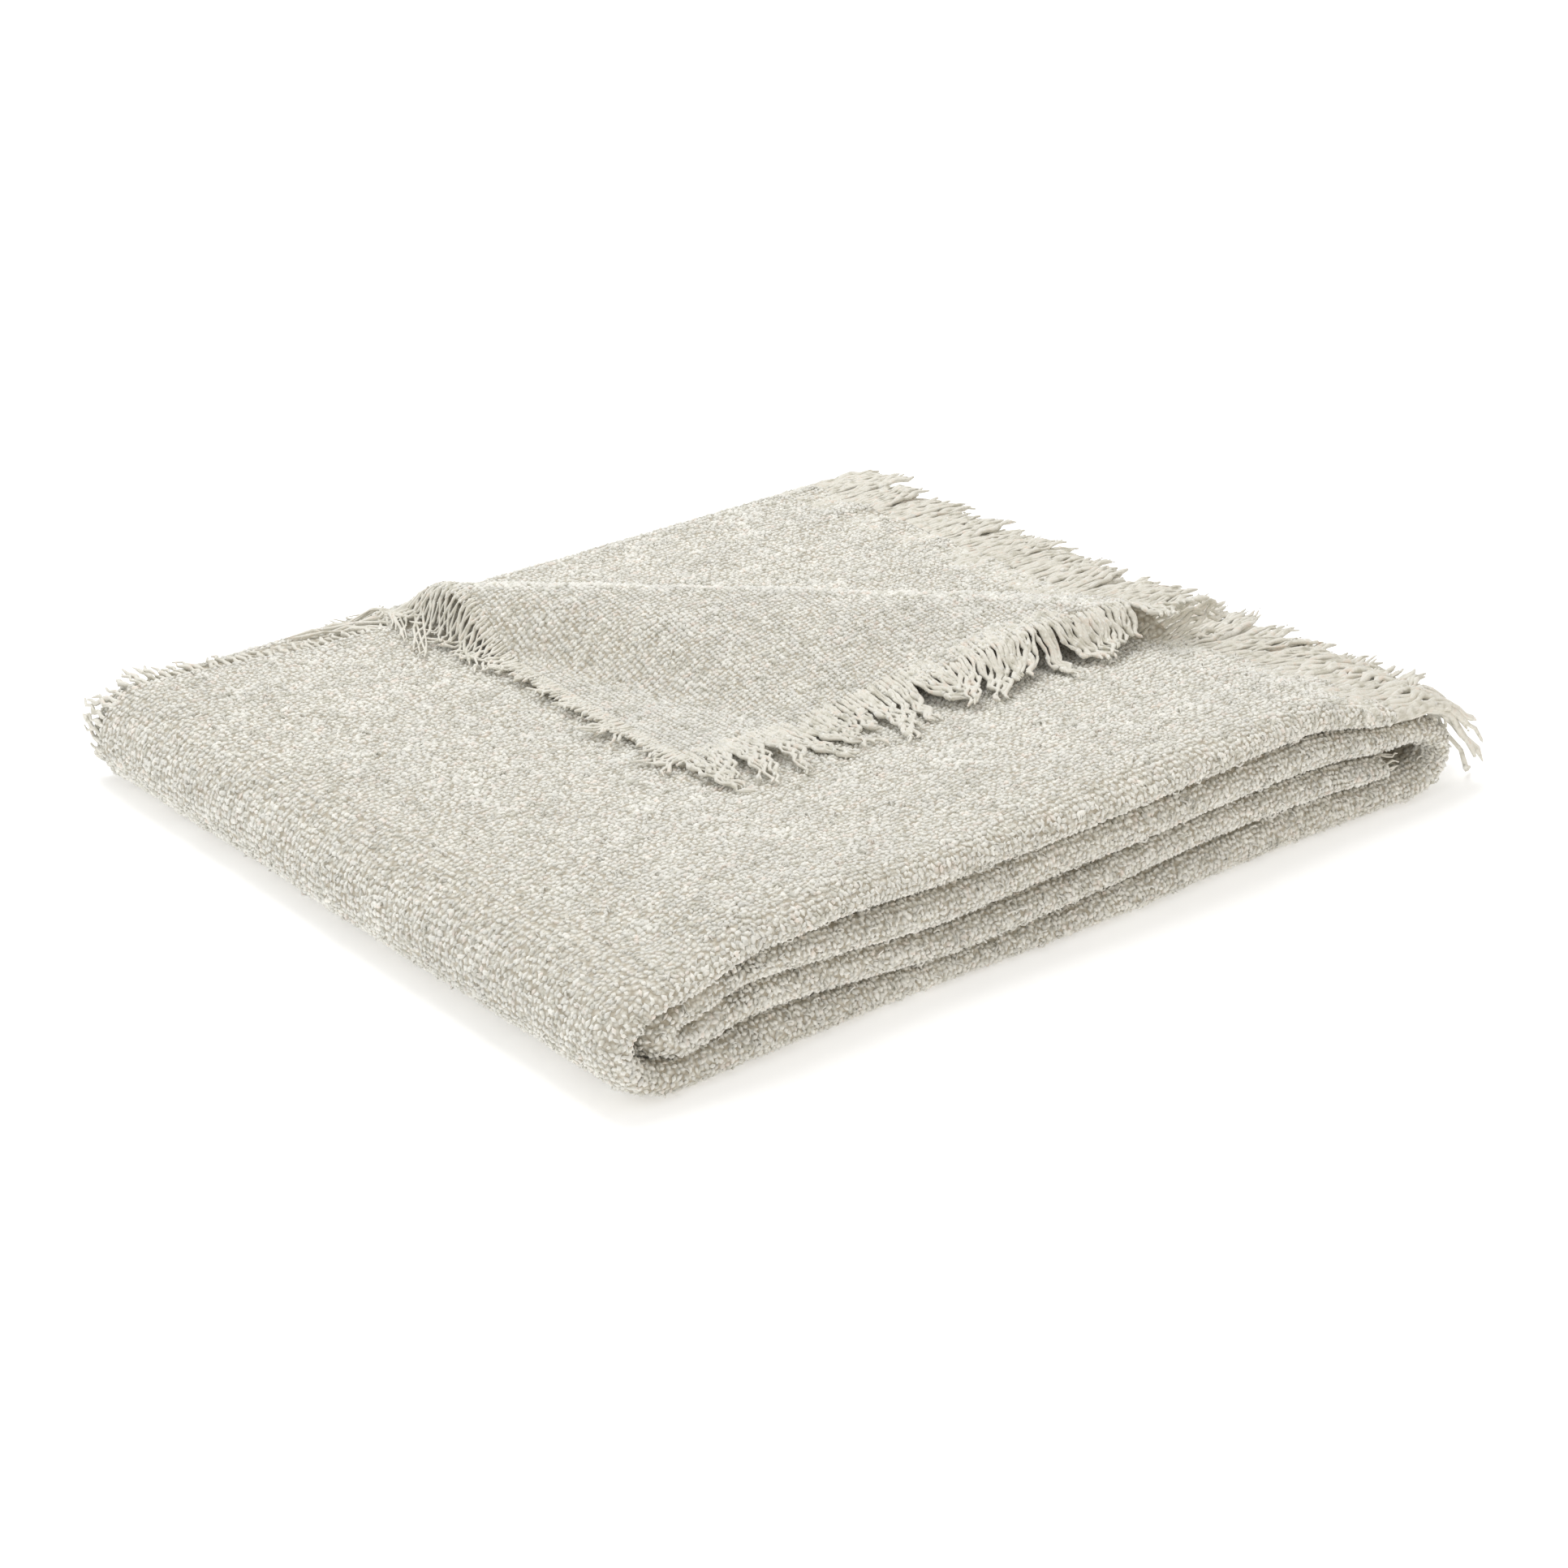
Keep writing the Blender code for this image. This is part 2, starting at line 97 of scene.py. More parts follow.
# Thickness of each band at the front of the stack, at places along X
Station = namedtuple("Station", "x fourth third second first")
STATIONS = (
    Station(x=LEFT_TURN, fourth=0.0122, third=0.0096, second=0.0092, first=0.0096),
    Station(x=0.052, fourth=0.0160, third=0.0126, second=0.0101, first=0.0110),
    Station(x=0.092, fourth=0.0137, third=0.0121, second=0.0124, first=0.0124),
    Station(x=0.135, fourth=0.0106, third=0.0114, second=0.0142, first=0.0124),
    Station(x=0.210, fourth=0.0126, third=0.0108, second=0.0152, first=0.0122),
    Station(x=0.302, fourth=0.0164, third=0.0113, second=0.0135, first=0.0110),
    Station(x=RIGHT_TURN, fourth=0.0130, third=0.0094, second=0.0098, first=0.0086),
)

# Share of that puffed thickness which is left at places towards the back
Fade = namedtuple("Fade", "y share")
FADES = (
    Fade(y=FRONT_TURN, share=1.0),
    Fade(y=0.030, share=0.90),
    Fade(y=0.060, share=0.68),
    Fade(y=0.105, share=0.40),
    Fade(y=0.170, share=0.16),
    Fade(y=0.245, share=0.04),
    Fade(y=BACK_TURN, share=0.0),
)

# The turned back corner of the top layer: its crease runs from the side edge to the end edge
CREASE_SIDE_X = 0.105
CREASE_END_Y = 0.0655
CREASE_BOW = 0.012
CREASE_PULL = 0.020
PULL_FADE = 0.045
CORNER_LIFT = 0.0030
CORNER_SLOPE = 0.105
SIDE_SLOPE = 0.036
SIDE_SLOPE_WIDTH = 0.060
CORNER_SHEAR = 0.20
CORNER_SLACK = 0.88
ROLL_AT_SIDE = 0.0085
ROLL_AT_MIDDLE = 0.0115
ROLL_AT_END = 0.0062
TANGENT_STEP = 0.0005
STRAND_RISE = 0.35

# The path across the width: each layer, and the fold that leads to the next one.
# A layer starts at a place along Y and runs to the front, -1, or to the back, 1.
# Levels are in layer pitches from the middle of a band.
Across = namedtuple("Across", "kind level next_level start_y way nose width cells")
OUTER_LEVEL = 1.5
INNER_LEVEL = 0.5


def layer(level, start_y, way, width, cells):
    """A layer that stays at its level."""
    return Across("layer", level, level, start_y, way, 0.0, width, cells)


LAYER_WIDTH = BACK_TURN - FRONT_TURN
ACROSS = (
    layer(OUTER_LEVEL, OPEN_EDGE, -1, OPEN_EDGE - FRONT_TURN, 72),
    Across("front fold", OUTER_LEVEL, -OUTER_LEVEL, FRONT_TURN, -1, OUTER_NOSE, OUTER_FOLD_WIDTH, 9),
    layer(-OUTER_LEVEL, FRONT_TURN, 1, LAYER_WIDTH, 18),
    Across("back fold", -OUTER_LEVEL, INNER_LEVEL, BACK_TURN, 1, BACK_NOSE, BACK_FOLD_WIDTH, 4),
    layer(INNER_LEVEL, BACK_TURN, -1, LAYER_WIDTH, 42),
    Across("front fold", INNER_LEVEL, -INNER_LEVEL, FRONT_TURN, -1, INNER_NOSE, INNER_FOLD_WIDTH, 3),
    layer(-INNER_LEVEL, FRONT_TURN, 1, HIDDEN_EDGE - FRONT_TURN, 16),
)

# The path along the length, from the end that is rolled inside to the end on top.
# A band starts at a place along X and runs to the left, -1, or to the right, 1.
Along = namedtuple("Along", "kind band next_band start_x way reach bulge inner_bulge length cells")


def band(name, start_x, way, length, cells):
    """A straight band of the stack."""
    return Along("band", name, name, start_x, way, 0.0, 0.0, 0.0, length, cells)


def wrap(name, next_name, start_x, way, reach, bulges, length, cells):
    """A turn round the stack's end, from one band to the next. The bulges are of its two sides."""
    return Along("wrap", name, next_name, start_x, way, reach, *bulges, length, cells)


INNER_BULGES = (INNER_LEFT_BULGE, 0.0)
OUTER_BULGES = (OUTER_LEFT_BULGE, OUTER_LEFT_BULGE)
RIGHT_BULGES = (RIGHT_BULGE, RIGHT_BULGE)
BAND_LENGTH = RIGHT_TURN - LEFT_TURN
ALONG = (
    band("third", INNER_END, -1, INNER_END - LEFT_TURN, 18),
    wrap("third", "second", LEFT_TURN, -1, INNER_LEFT_REACH, INNER_BULGES, INNER_WRAP_LENGTH, 4),
    band("second", LEFT_TURN, 1, BAND_LENGTH, 20),
    wrap("second", "fourth", RIGHT_TURN, 1, RIGHT_REACH, RIGHT_BULGES, RIGHT_WRAP_LENGTH, 9),
    band("fourth", RIGHT_TURN, -1, BAND_LENGTH, 20),
    wrap("fourth", "first", LEFT_TURN, -1, OUTER_LEFT_REACH, OUTER_BULGES, OUTER_WRAP_LENGTH, 14),
    band("first", LEFT_TURN, 1, OUTER_END - LEFT_TURN, 72),
)
STACK_ORDER = ("fourth", "third", "second", "first")
FACES_DOWN = ("fourth", "third")
CLOTH_WIDTH = sum(part.width for part in ACROSS)
CLOTH_LENGTH = sum(part.length for part in ALONG)
ALONG_START = [sum(part.length for part in ALONG[:number]) for number in range(len(ALONG))]
ACROSS_START = [sum(part.width for part in ACROSS[:number]) for number in range(len(ACROSS))]

# Where the outer wraps and the top start and stop along the sheet. Across it, the top layer ends at
# its front fold, which leads under the band to a back fold and then to the layer below the top one.
RIGHT_WRAP_START, RIGHT_WRAP_STOP, LEFT_WRAP_START, TOP_START = ALONG_START[3:7]
FRONT_START, FRONT_STOP, BACK_START, UNDER_START, UNDER_STOP = ACROSS_START[1:6]
CREASE_S = CLOTH_LENGTH - (OUTER_END - CREASE_SIDE_X) + CREASE_BOW
CREASE_T = OPEN_EDGE - CREASE_END_Y - CREASE_BOW

STATION_X = [row.x for row in STATIONS]
FADE_Y = [row.y for row in FADES]
FADE_SHARE = [row.share for row in FADES]
BAND_THICKNESS = {band: [getattr(row, band) for row in STATIONS] for band in STACK_ORDER}


def smooth_table(places, values, at):
    """Smooth interpolation between the rows of a table, held at its two ends, with no overshoot."""
    places, values = np.asarray(places), np.asarray(values)
    steps = np.diff(places)
    slopes = np.diff(values) / steps
    tangents = np.zeros(len(values))
    both = slopes[1:] * slopes[:-1]
    total = slopes[1:] + slopes[:-1]
    tangents[1:-1] = np.where(both > 0.0, 2.0 * both / np.where(both > 0.0, total, 1.0), 0.0)
    at = np.clip(at, places[0], places[-1])
    row = np.clip(np.searchsorted(places, at, side="right") - 1, 0, len(steps) - 1)
    share = (at - places[row]) / steps[row]
    rest = 1.0 - share
    ends = values[row] * (1.0 + 2.0 * share) * rest**2 + values[row + 1] * (3.0 - 2.0 * share) * share**2
    leans = tangents[row] * share * rest**2 - tangents[row + 1] * rest * share**2
    return ends + leans * steps[row]


def ease(share):
    share = np.clip(share, 0.0, 1.0)
    return share * share * (3.0 - 2.0 * share)


def soft_noise(u, v, seed):
    """Smooth random heights from -1 to 1 over a plane, with one random value for each unit."""
    cells = 64
    table = np.random.default_rng(seed).uniform(-1.0, 1.0, (cells, cells))
    column, row = np.floor(u).astype(int), np.floor(v).astype(int)
    right, up = ease(u - column), ease(v - row)
    low = table[column % cells, row % cells] * (1.0 - right)
    low = low + table[(column + 1) % cells, row % cells] * right
    high = table[column % cells, (row + 1) % cells] * (1.0 - right)
    high = high + table[(column + 1) % cells, (row + 1) % cells] * right
    return low * (1.0 - up) + high * up


def unit(vectors):
    return vectors / np.maximum(np.linalg.norm(vectors, axis=-1, keepdims=True), 1e-12)


# The folds: from a flat point of the sheet to its place in the stack


def layer_pitch(band, x, y):
    """Distance between the middles of two neighbouring layers of a band."""
    front_pitch = smooth_table(STATION_X, BAND_THICKNESS[band], x) / LAYERS
    return BACK_PITCH + smooth_table(FADE_Y, FADE_SHARE, y) * (front_pitch - BACK_PITCH)


def band_middle(band, x, y):
    """Height of the middle of a band, which rests on the bands below it."""
    height = 0.5 * CLOTH - 0.5 * layer_pitch(STACK_ORDER[0], x, y)
    for lower in STACK_ORDER[:STACK_ORDER.index(band)]:
        height = height + LAYERS * layer_pitch(lower, x, y)
    return height + 0.5 * LAYERS * layer_pitch(band, x, y)


def nose_wave(band, x):
    """Small change of the front fold's reach along a band, so that the bands aren't in line."""
    phase = NOSE_WAVE_STAGGER * STACK_ORDER.index(band)
    return NOSE_WAVE * np.sin(math.tau * x / NOSE_WAVELENGTH + phase)


def within(parts, starts, sizes, number, distance):
    """Which distances lie in a part of a path, whose two end parts also hold what lies past them."""
    held = (distance >= starts[number]) & (distance < starts[number] + sizes[number])
    if number == 0:
        held |= distance < starts[number]
    if number == len(parts) - 1:
        held |= distance >= starts[number]
    return held


def place_across(t, wave):
    """Level in the band, in layer pitches from its middle, and Y of points across the width."""
    level, y = np.zeros_like(t), np.zeros_like(t)
    widths = [part.width for part in ACROSS]
    for number, part in enumerate(ACROSS):
        held = within(ACROSS, ACROSS_START, widths, number, t)
        inside = t[held] - ACROSS_START[number]
        if part.kind == "layer":
            level[held] = part.level
            y[held] = part.start_y + part.way * inside
            continue
        angle = math.pi * inside / part.width
        middle = 0.5 * (part.level + part.next_level)
        level[held] = middle + 0.5 * (part.level - part.next_level) * np.cos(angle)
        nose = part.nose * np.sin(angle)
        if part.nose == OUTER_NOSE:
            nose = nose + wave[held] * np.sin(angle)
        y[held] = part.start_y + part.way * nose
    return level, y


def spread_edge(x, y):
    """Y of points of the layer with the open edge, which spreads to the back at the left end."""
    share = np.clip((SPREAD_STOP_X - x) / (SPREAD_STOP_X - LEFT_TURN), 0.0, 1.0)
    return FRONT_TURN + (y - FRONT_TURN) * (1.0 + EDGE_SPREAD * share)


def stacked_place(s, t):
    """Places of flat points in the stack, before the corner is turned back."""
    place = np.zeros((len(s), 3))
    lengths = [part.length for part in ALONG]
    spreads = (t <= FRONT_START) & (s >= RIGHT_WRAP_STOP)
    for number, part in enumerate(ALONG):
        held = within(ALONG, ALONG_START, lengths, number, s)
        inside = s[held] - ALONG_START[number]
        if part.kind == "band":
            x = part.start_x + part.way * inside
            level, y = place_across(t[held], nose_wave(part.band, x))
            y = np.where(spreads[held], spread_edge(x, y), y)
            side = -1.0 if part.band in FACES_DOWN else 1.0
            z = band_middle(part.band, x, y) + side * level * layer_pitch(part.band, x, y)
            place[held] = np.stack([x, y, z], axis=1)
            continue
        x = np.full_like(inside, part.start_x)
        share = inside / part.length
        lower, upper = part.band, part.next_band
        if part.way > 0:
            share = 1.0 - share
            lower, upper = upper, lower
        angle = math.pi * share
        wave = (1.0 - share) * nose_wave(lower, x) + share * nose_wave(upper, x)
        level, y = place_across(t[held], wave)
        y = np.where(spreads[held], spread_edge(x, y), y)
        pitch = (1.0 - share) * layer_pitch(lower, x, y) + share * layer_pitch(upper, x, y)
        low, high = band_middle(lower, x, y), band_middle(upper, x, y)
        rise = 0.5 * (high - low) + level * pitch
        nearness = np.clip((BACK_TURN - y) / (BACK_TURN - FRONT_TURN), 0.0, 1.0)
        outermost = (level + OUTER_LEVEL) / (2.0 * OUTER_LEVEL)
        bulge = part.inner_bulge + (part.bulge - part.inner_bulge) * outermost
        reach = (part.reach + bulge * nearness + level * pitch) * np.sin(angle)
        z = 0.5 * (low + high) - rise * np.cos(angle)
        place[held] = np.stack([x + part.way * reach, y, z], axis=1)
    return place


CREASE_RUN = np.array([OUTER_END - CREASE_SIDE_X, CREASE_END_Y - OPEN_EDGE])
CREASE_SPAN = float(np.linalg.norm(CREASE_RUN))
CREASE_WAY = CREASE_RUN / CREASE_SPAN
CREASE_OUT = np.array([-CREASE_WAY[1], CREASE_WAY[0]])


def top_layer_height(x, y):
    return band_middle("first", x, y) + OUTER_LEVEL * layer_pitch("first", x, y)


def roll_radius(along):
    share = np.clip(along / CREASE_SPAN, 0.0, 1.0)
    plain = ROLL_AT_SIDE + (ROLL_AT_END - ROLL_AT_SIDE) * share
    swell = ROLL_AT_MIDDLE - 0.5 * (ROLL_AT_SIDE + ROLL_AT_END)
    return plain + swell * np.sin(math.pi * share)


def past_crease(x, y):
    """Distances of flat points along the bowed crease and past it."""
    away_x, away_y = x - CREASE_SIDE_X, y - OPEN_EDGE
    along = away_x * CREASE_WAY[0] + away_y * CREASE_WAY[1]
    past = away_x * CREASE_OUT[0] + away_y * CREASE_OUT[1]
    bow = CREASE_BOW * (1.0 - np.sin(math.pi * np.clip(along / CREASE_SPAN, 0.0, 1.0)))
    return along, past - bow, bow


def rolled_place(x, y):
    """Places of points of the top layer after its corner is rolled back over the crease."""
    along, past, bow = past_crease(x, y)
    share = np.clip(along / CREASE_SPAN, 0.0, 1.0)
    pull = CREASE_PULL * share**2 * np.clip(1.0 + past / PULL_FADE, 0.0, 1.0)
    radius = roll_radius(along)
    half_turn = math.pi * radius
    turning = (past > 0.0) & (past < half_turn)
    turned = past >= half_turn
    out = np.where(turning, radius * np.sin(past / radius), past)
    out = np.where(turned, CORNER_SLACK * (half_turn - past), out)
    side_share = ease(1.0 - (OPEN_EDGE - y) / SIDE_SLOPE_WIDTH)
    slope_length = CORNER_SLOPE + (SIDE_SLOPE - CORNER_SLOPE) * side_share
    slope = 0.5 * (1.0 + np.cos(math.pi * np.clip((past - half_turn) / slope_length, 0.0, 1.0)))
    lift = np.where(turning, radius * (1.0 - np.cos(past / radius)), 0.0)
    lift = np.where(turned, CORNER_LIFT + (2.0 * radius - CORNER_LIFT) * slope, lift)
    shear = CORNER_SHEAR * past * past / (np.abs(past) + 0.5 * half_turn)
    shift = pull + np.where(past > 0.0, shear, 0.0)
    flat_x = CREASE_SIDE_X + CREASE_WAY[0] * (along - shift) + CREASE_OUT[0] * (bow + out)
    flat_y = OPEN_EDGE + CREASE_WAY[1] * (along - shift) + CREASE_OUT[1] * (bow + out)
    return np.stack([flat_x, flat_y, top_layer_height(flat_x, flat_y) + lift], axis=1)


def turned_place(x, y):
    """Places of points of the top layer or of its fringes, which run straight off the roll."""
    edge_x, edge_y = np.minimum(x, OUTER_END), np.minimum(y, spread_edge(x, OPEN_EDGE))
    place = rolled_place(x, y)
    beyond = np.maximum(x - edge_x, y - edge_y)
    along, past, _ = past_crease(edge_x, edge_y)
    edge = rolled_place(edge_x, edge_y)
    flat = (beyond > 0.0) & (past <= 0.0)
    flat_x, flat_y = edge[:, 0] + x - edge_x, edge[:, 1] + y - edge_y
    straight = np.stack([flat_x, flat_y, top_layer_height(flat_x, flat_y)], axis=1)
    place[flat] = straight[flat]
    rolling = (beyond > 0.0) & (past > 0.0) & (past < math.pi * roll_radius(along))
    inner_x = np.where(x > edge_x, edge_x - TANGENT_STEP, edge_x)
    inner_y = np.where(y > edge_y, edge_y - TANGENT_STEP, edge_y)
    tangent = edge - rolled_place(inner_x, inner_y)
    tangent[:, 2] *= STRAND_RISE
    off = edge + unit(tangent) * beyond[:, None]
    place[rolling] = off[rolling]
    return place


def folded_place(s, t):
    """Places of flat points of the sheet and its fringes in the frame of the part."""
    place = stacked_place(s, t)
    top = (s >= TOP_START) & (t <= FRONT_START)
    x = OUTER_END - (CLOTH_LENGTH - s[top])
    place[top] = turned_place(x, spread_edge(x, OPEN_EDGE - t[top]))
    place[:, 0] -= FOOTPRINT_MIDDLE[0]
    place[:, 1] -= FOOTPRINT_MIDDLE[1]
    return place


# The relief of the sheet: soft swells, and ridges that run in from the frayed end
SWELL = 0.0007
SWELL_LENGTH = 0.045
PUCKER = 0.0004
PUCKER_LENGTH = 0.016
RIDGE = 0.0011
RIDGE_PITCH = 0.0062
RIDGE_LENGTH = 0.08
RIDGE_FADE = 0.034
UNDER_FADE = 0.020
OUTWARD_SHIFT = 0.4 * SWELL
FOLD_RELIEF = 0.5
SWELL_SEED, PUCKER_SEED, RIDGE_SEED = 3, 5, 7


def top_flat_place(s, t):
    """X and Y of points of the top band, as if its corner weren't turned back."""
    x = OUTER_END - (CLOTH_LENGTH - s)
    under = t >= UNDER_START
    y = np.where(under, BACK_TURN - (t - UNDER_START), OPEN_EDGE - t)
    return x, y


def show_share(s, t):
    """How much of the relief a point of the outer face takes: none where layers lie close."""
    outer = (t <= FRONT_STOP) & (s >= LEFT_WRAP_START)
    front = (t > FRONT_START) & (t <= FRONT_STOP)
    right = (t <= FRONT_STOP) & (s > RIGHT_WRAP_START) & (s < RIGHT_WRAP_STOP)
    share = np.where(outer, 1.0, np.where(front | right, FOLD_RELIEF, 0.0))
    fold_share = np.sin(math.pi * np.clip((s - RIGHT_WRAP_START) / RIGHT_WRAP_LENGTH, 0.0, 1.0))
    share = np.where(right & ~front, FOLD_RELIEF * fold_share, share)
    x, y = top_flat_place(s, t)
    _, past, _ = past_crease(x, y)
    under = (t >= UNDER_START) & (t <= UNDER_STOP) & (s >= TOP_START)
    return np.where(under, ease(past / UNDER_FADE), share)


def relief(s, t):
    """How far a point of the sheet stands out of its smooth folds, on the outer face's side."""
    swell = SWELL * soft_noise(s / SWELL_LENGTH, t / SWELL_LENGTH, SWELL_SEED)
    pucker = PUCKER * soft_noise(s / PUCKER_LENGTH, t / PUCKER_LENGTH, PUCKER_SEED)
    ridge = RIDGE * soft_noise(t / RIDGE_PITCH, s / RIDGE_LENGTH, RIDGE_SEED)
    ridge = ridge * np.exp(-np.maximum(CLOTH_LENGTH - s, 0.0) / RIDGE_FADE)
    stand = swell + pucker + ridge + OUTWARD_SHIFT
    return stand * show_share(s, t)


def surface_grid(rows, columns, side=0.0):
    """Places, outward ways and both yarn ways on a grid of flat points.

    The places are in the middle of the cloth, or on the face that side names, 1 or -1.
    """
    s, t = np.meshgrid(rows, columns, indexing="ij")
    shape = s.shape
    place = folded_place(s.ravel(), t.ravel()).reshape(*shape, 3)
    outward = -unit(np.cross(np.gradient(place, axis=0), np.gradient(place, axis=1)))
    out = relief(s.ravel(), t.ravel()).reshape(*shape, 1)
    place = place + outward * out
    along, across = np.gradient(place, axis=0), np.gradient(place, axis=1)
    outward = -unit(np.cross(along, across))
    return place + outward * side * 0.5 * CLOTH, outward, unit(along), unit(across)


def surface_at(s, t, side):
    """The same for flat points that don't lie on a grid."""
    place = folded_place(s, t)
    along = folded_place(s + TANGENT_STEP, t) - place
    across = folded_place(s, t + TANGENT_STEP) - place
    outward = -unit(np.cross(along, across))
    place = place + outward * (relief(s, t)[:, None] + side * 0.5 * CLOTH)
    return place, outward, unit(along), unit(across)


# Materials

SHEEN_ROUGHNESS = 0.6
YARN_SPECULAR = 0.2
YARN_ROUGHNESS = 0.96
YARN_SHEEN = 0.25
FLECK_SCALE = 260.0
TONE_SCALE = 45.0
FUZZ_SCALE = 1400.0
FUZZ_DEPTH = 0.0005
LOOP_TONES = ((0.92, 0.92, 0.92), (1.0, 1.0, 1.0))
# The frayed yarn is darker and warmer than the loop yarn: partly its own tone, partly painted shade.
FRAYED_TONES_WITH_PAINTED_SHADE = ((0.87, 0.853, 0.815), (0.94, 0.925, 0.895))
GROUND_ROUGHNESS = 1.0
GROUND_SHEEN = 0.15
GROUND_FLECK_SCALE = 300.0
GROUND_TONES = ((0.88, 0.88, 0.86), (1.0, 0.99, 0.97))
PIT_DEPTH = 0.0011


def new_material(name, roughness, sheen):
    material = bpy.data.materials.new(name)
    material.use_nodes = True
    shader = material.node_tree.nodes["Principled BSDF"]
    shader.inputs["Roughness"].default_value = roughness
    shader.inputs["Sheen Weight"].default_value = sheen
    shader.inputs["Sheen Roughness"].default_value = SHEEN_ROUGHNESS
    shader.inputs["Specular IOR Level"].default_value = YARN_SPECULAR
    return material, material.node_tree, shader


def add_noise(tree, coordinates, scale, detail, distortion=0.0):
    node = tree.nodes.new("ShaderNodeTexNoise")
    node.inputs["Scale"].default_value = scale
    node.inputs["Detail"].default_value = detail
    node.inputs["Distortion"].default_value = distortion
    tree.links.new(coordinates, node.inputs["Vector"])
    return node.outputs["Fac"]


def add_ramp(tree, value, stops):
    """A colour ramp, whose stops are pairs of a place and a colour."""
    node = tree.nodes.new("ShaderNodeValToRGB")
    ramp = node.color_ramp
    while len(ramp.elements) < len(stops):
        ramp.elements.new(0.5)
    for element, (place, colour) in zip(ramp.elements, stops):
        element.position = place
        element.color = (*colour, 1.0)
    tree.links.new(value, node.inputs["Fac"])
    return node.outputs["Color"]


def add_mix(tree, kind, share, first, second):
    node = tree.nodes.new("ShaderNodeMix")
    node.data_type = "RGBA"
    node.blend_type = kind
    node.inputs["Factor"].default_value = share
    tree.links.new(first, node.inputs["A"])
    tree.links.new(second, node.inputs["B"])
    return node.outputs["Result"]


def add_bump(tree, shader, height, strength, distance):
    node = tree.nodes.new("ShaderNodeBump")
    node.inputs["Strength"].default_value = strength
    node.inputs["Distance"].default_value = distance
    tree.links.new(height, node.inputs["Height"])
    tree.links.new(node.outputs["Normal"], shader.inputs["Normal"])


def add_math(tree, operation, first, second):
    """A sum, difference or product, of numbers or of other nodes' outputs."""
    node = tree.nodes.new("ShaderNodeMath")
    node.operation = operation
    for socket, value in zip(node.inputs, (first, second)):
        if isinstance(value, float):
            socket.default_value = value
        else:
            tree.links.new(value, socket)
    return node.outputs["Value"]


def yarn_material(name, settings, tones, shaded):
    """Off-white loop yarn: cream and greige flecks, slow changes of tone, and a fuzzy surface."""
    material, tree, shader = new_material(name, YARN_ROUGHNESS, YARN_SHEEN)
    coordinates = tree.nodes.new("ShaderNodeTexCoord").outputs["Object"]
    pale, warm, grey = settings.pale_colour, settings.warm_colour, settings.grey_colour
    flecks = add_ramp(
        tree, add_noise(tree, coordinates, FLECK_SCALE, 2.0, 0.3),
        [(0.32, grey), (0.47, pale), (0.58, pale), (0.72, warm)],
    )
    tone = add_ramp(
        tree, add_noise(tree, coordinates, TONE_SCALE, 3.0),
        [(0.30, tones[0]), (0.65, tones[1])],
    )
    colour = add_mix(tree, "MULTIPLY", 1.0, flecks, tone)
    # The shade attribute holds each bulge's own uneven tone and, on the turned back corner, painted
    # shade and a painted highlight along its rim.
    if shaded:
        shade = tree.nodes.new("ShaderNodeAttribute")
        shade.attribute_name = "shade"
        colour = add_mix(tree, "MULTIPLY", 1.0, colour, shade.outputs["Color"])
    tree.links.new(colour, shader.inputs["Base Color"])
    add_bump(tree, shader, add_noise(tree, coordinates, FUZZ_SCALE, 3.0, 0.5), 0.6, FUZZ_DEPTH)
    return material


def ground_material(settings):
    """The woven ground between the loops: warp and weft in turn, with painted shade darkening the pits.
    """
    material, tree, shader = new_material("woven ground", GROUND_ROUGHNESS, GROUND_SHEEN)
    coordinates = tree.nodes.new("ShaderNodeTexCoord").outputs["Object"]
    cells = tree.nodes.new("ShaderNodeTexVoronoi")
    cells.inputs["Scale"].default_value = 1.0 / settings.yarn_pitch
    tree.links.new(coordinates, cells.inputs["Vector"])
    # Painted shade: the ramp darkens the ground towards its pits, where shade falls between the yarns.
    shade = add_ramp(
        tree, cells.outputs["Distance"],
        [(0.15, settings.pale_colour), (0.75, settings.painted_pit_shade)],
    )
    flecks = add_ramp(
        tree, add_noise(tree, coordinates, GROUND_FLECK_SCALE, 2.0),
        [(0.30, GROUND_TONES[0]), (0.70, GROUND_TONES[1])],
    )
    colour = add_mix(tree, "MULTIPLY", 1.0, shade, flecks)
    tree.links.new(colour, shader.inputs["Base Color"])
    add_bump(tree, shader, add_math(tree, "SUBTRACT", 1.0, cells.outputs["Distance"]), 0.9, PIT_DEPTH)
    return material


# Meshes and geometry nodes


def make_mesh(name, points, edges, faces):
    mesh = bpy.data.meshes.new(name)
    mesh.from_pydata(points.tolist(), edges, faces)
    mesh.update()
    return mesh


def store(mesh, name, kind, values):
    attribute = mesh.attributes.new(name, kind, "POINT")
    attribute.data.foreach_set("vector" if kind == "FLOAT_VECTOR" else "value", np.ravel(values))


def show(name, mesh):
    item = bpy.data.objects.new(name, mesh)
    bpy.context.scene.collection.objects.link(item)
    return item


def new_tree(name, inputs):
    """An empty tree of geometry nodes with named inputs, and its input and output nodes."""
    tree = bpy.data.node_groups.new(name, "GeometryNodeTree")
    for label, kind in {"Geometry": "Geometry", **inputs, "Material": "Material"}.items():
        tree.interface.new_socket(label, in_out="INPUT", socket_type="NodeSocket" + kind)
    tree.interface.new_socket("Geometry", in_out="OUTPUT", socket_type="NodeSocketGeometry")
    return tree, tree.nodes.new("NodeGroupInput"), tree.nodes.new("NodeGroupOutput")


def named_value(tree, name, kind):
    node = tree.nodes.new("GeometryNodeInputNamedAttribute")
    node.data_type = kind
    node.inputs["Name"].default_value = name
    return node.outputs["Attribute"]


def add_vector_math(tree, operation, first, second, socket_name):
    """Two vectors multiplied, or a vector scaled by a number, as the operation says."""
    node = tree.nodes.new("ShaderNodeVectorMath")
    node.operation = operation
    tree.links.new(first, node.inputs[0])
    tree.links.new(second, node.inputs[socket_name])
    return node.outputs["Vector"]


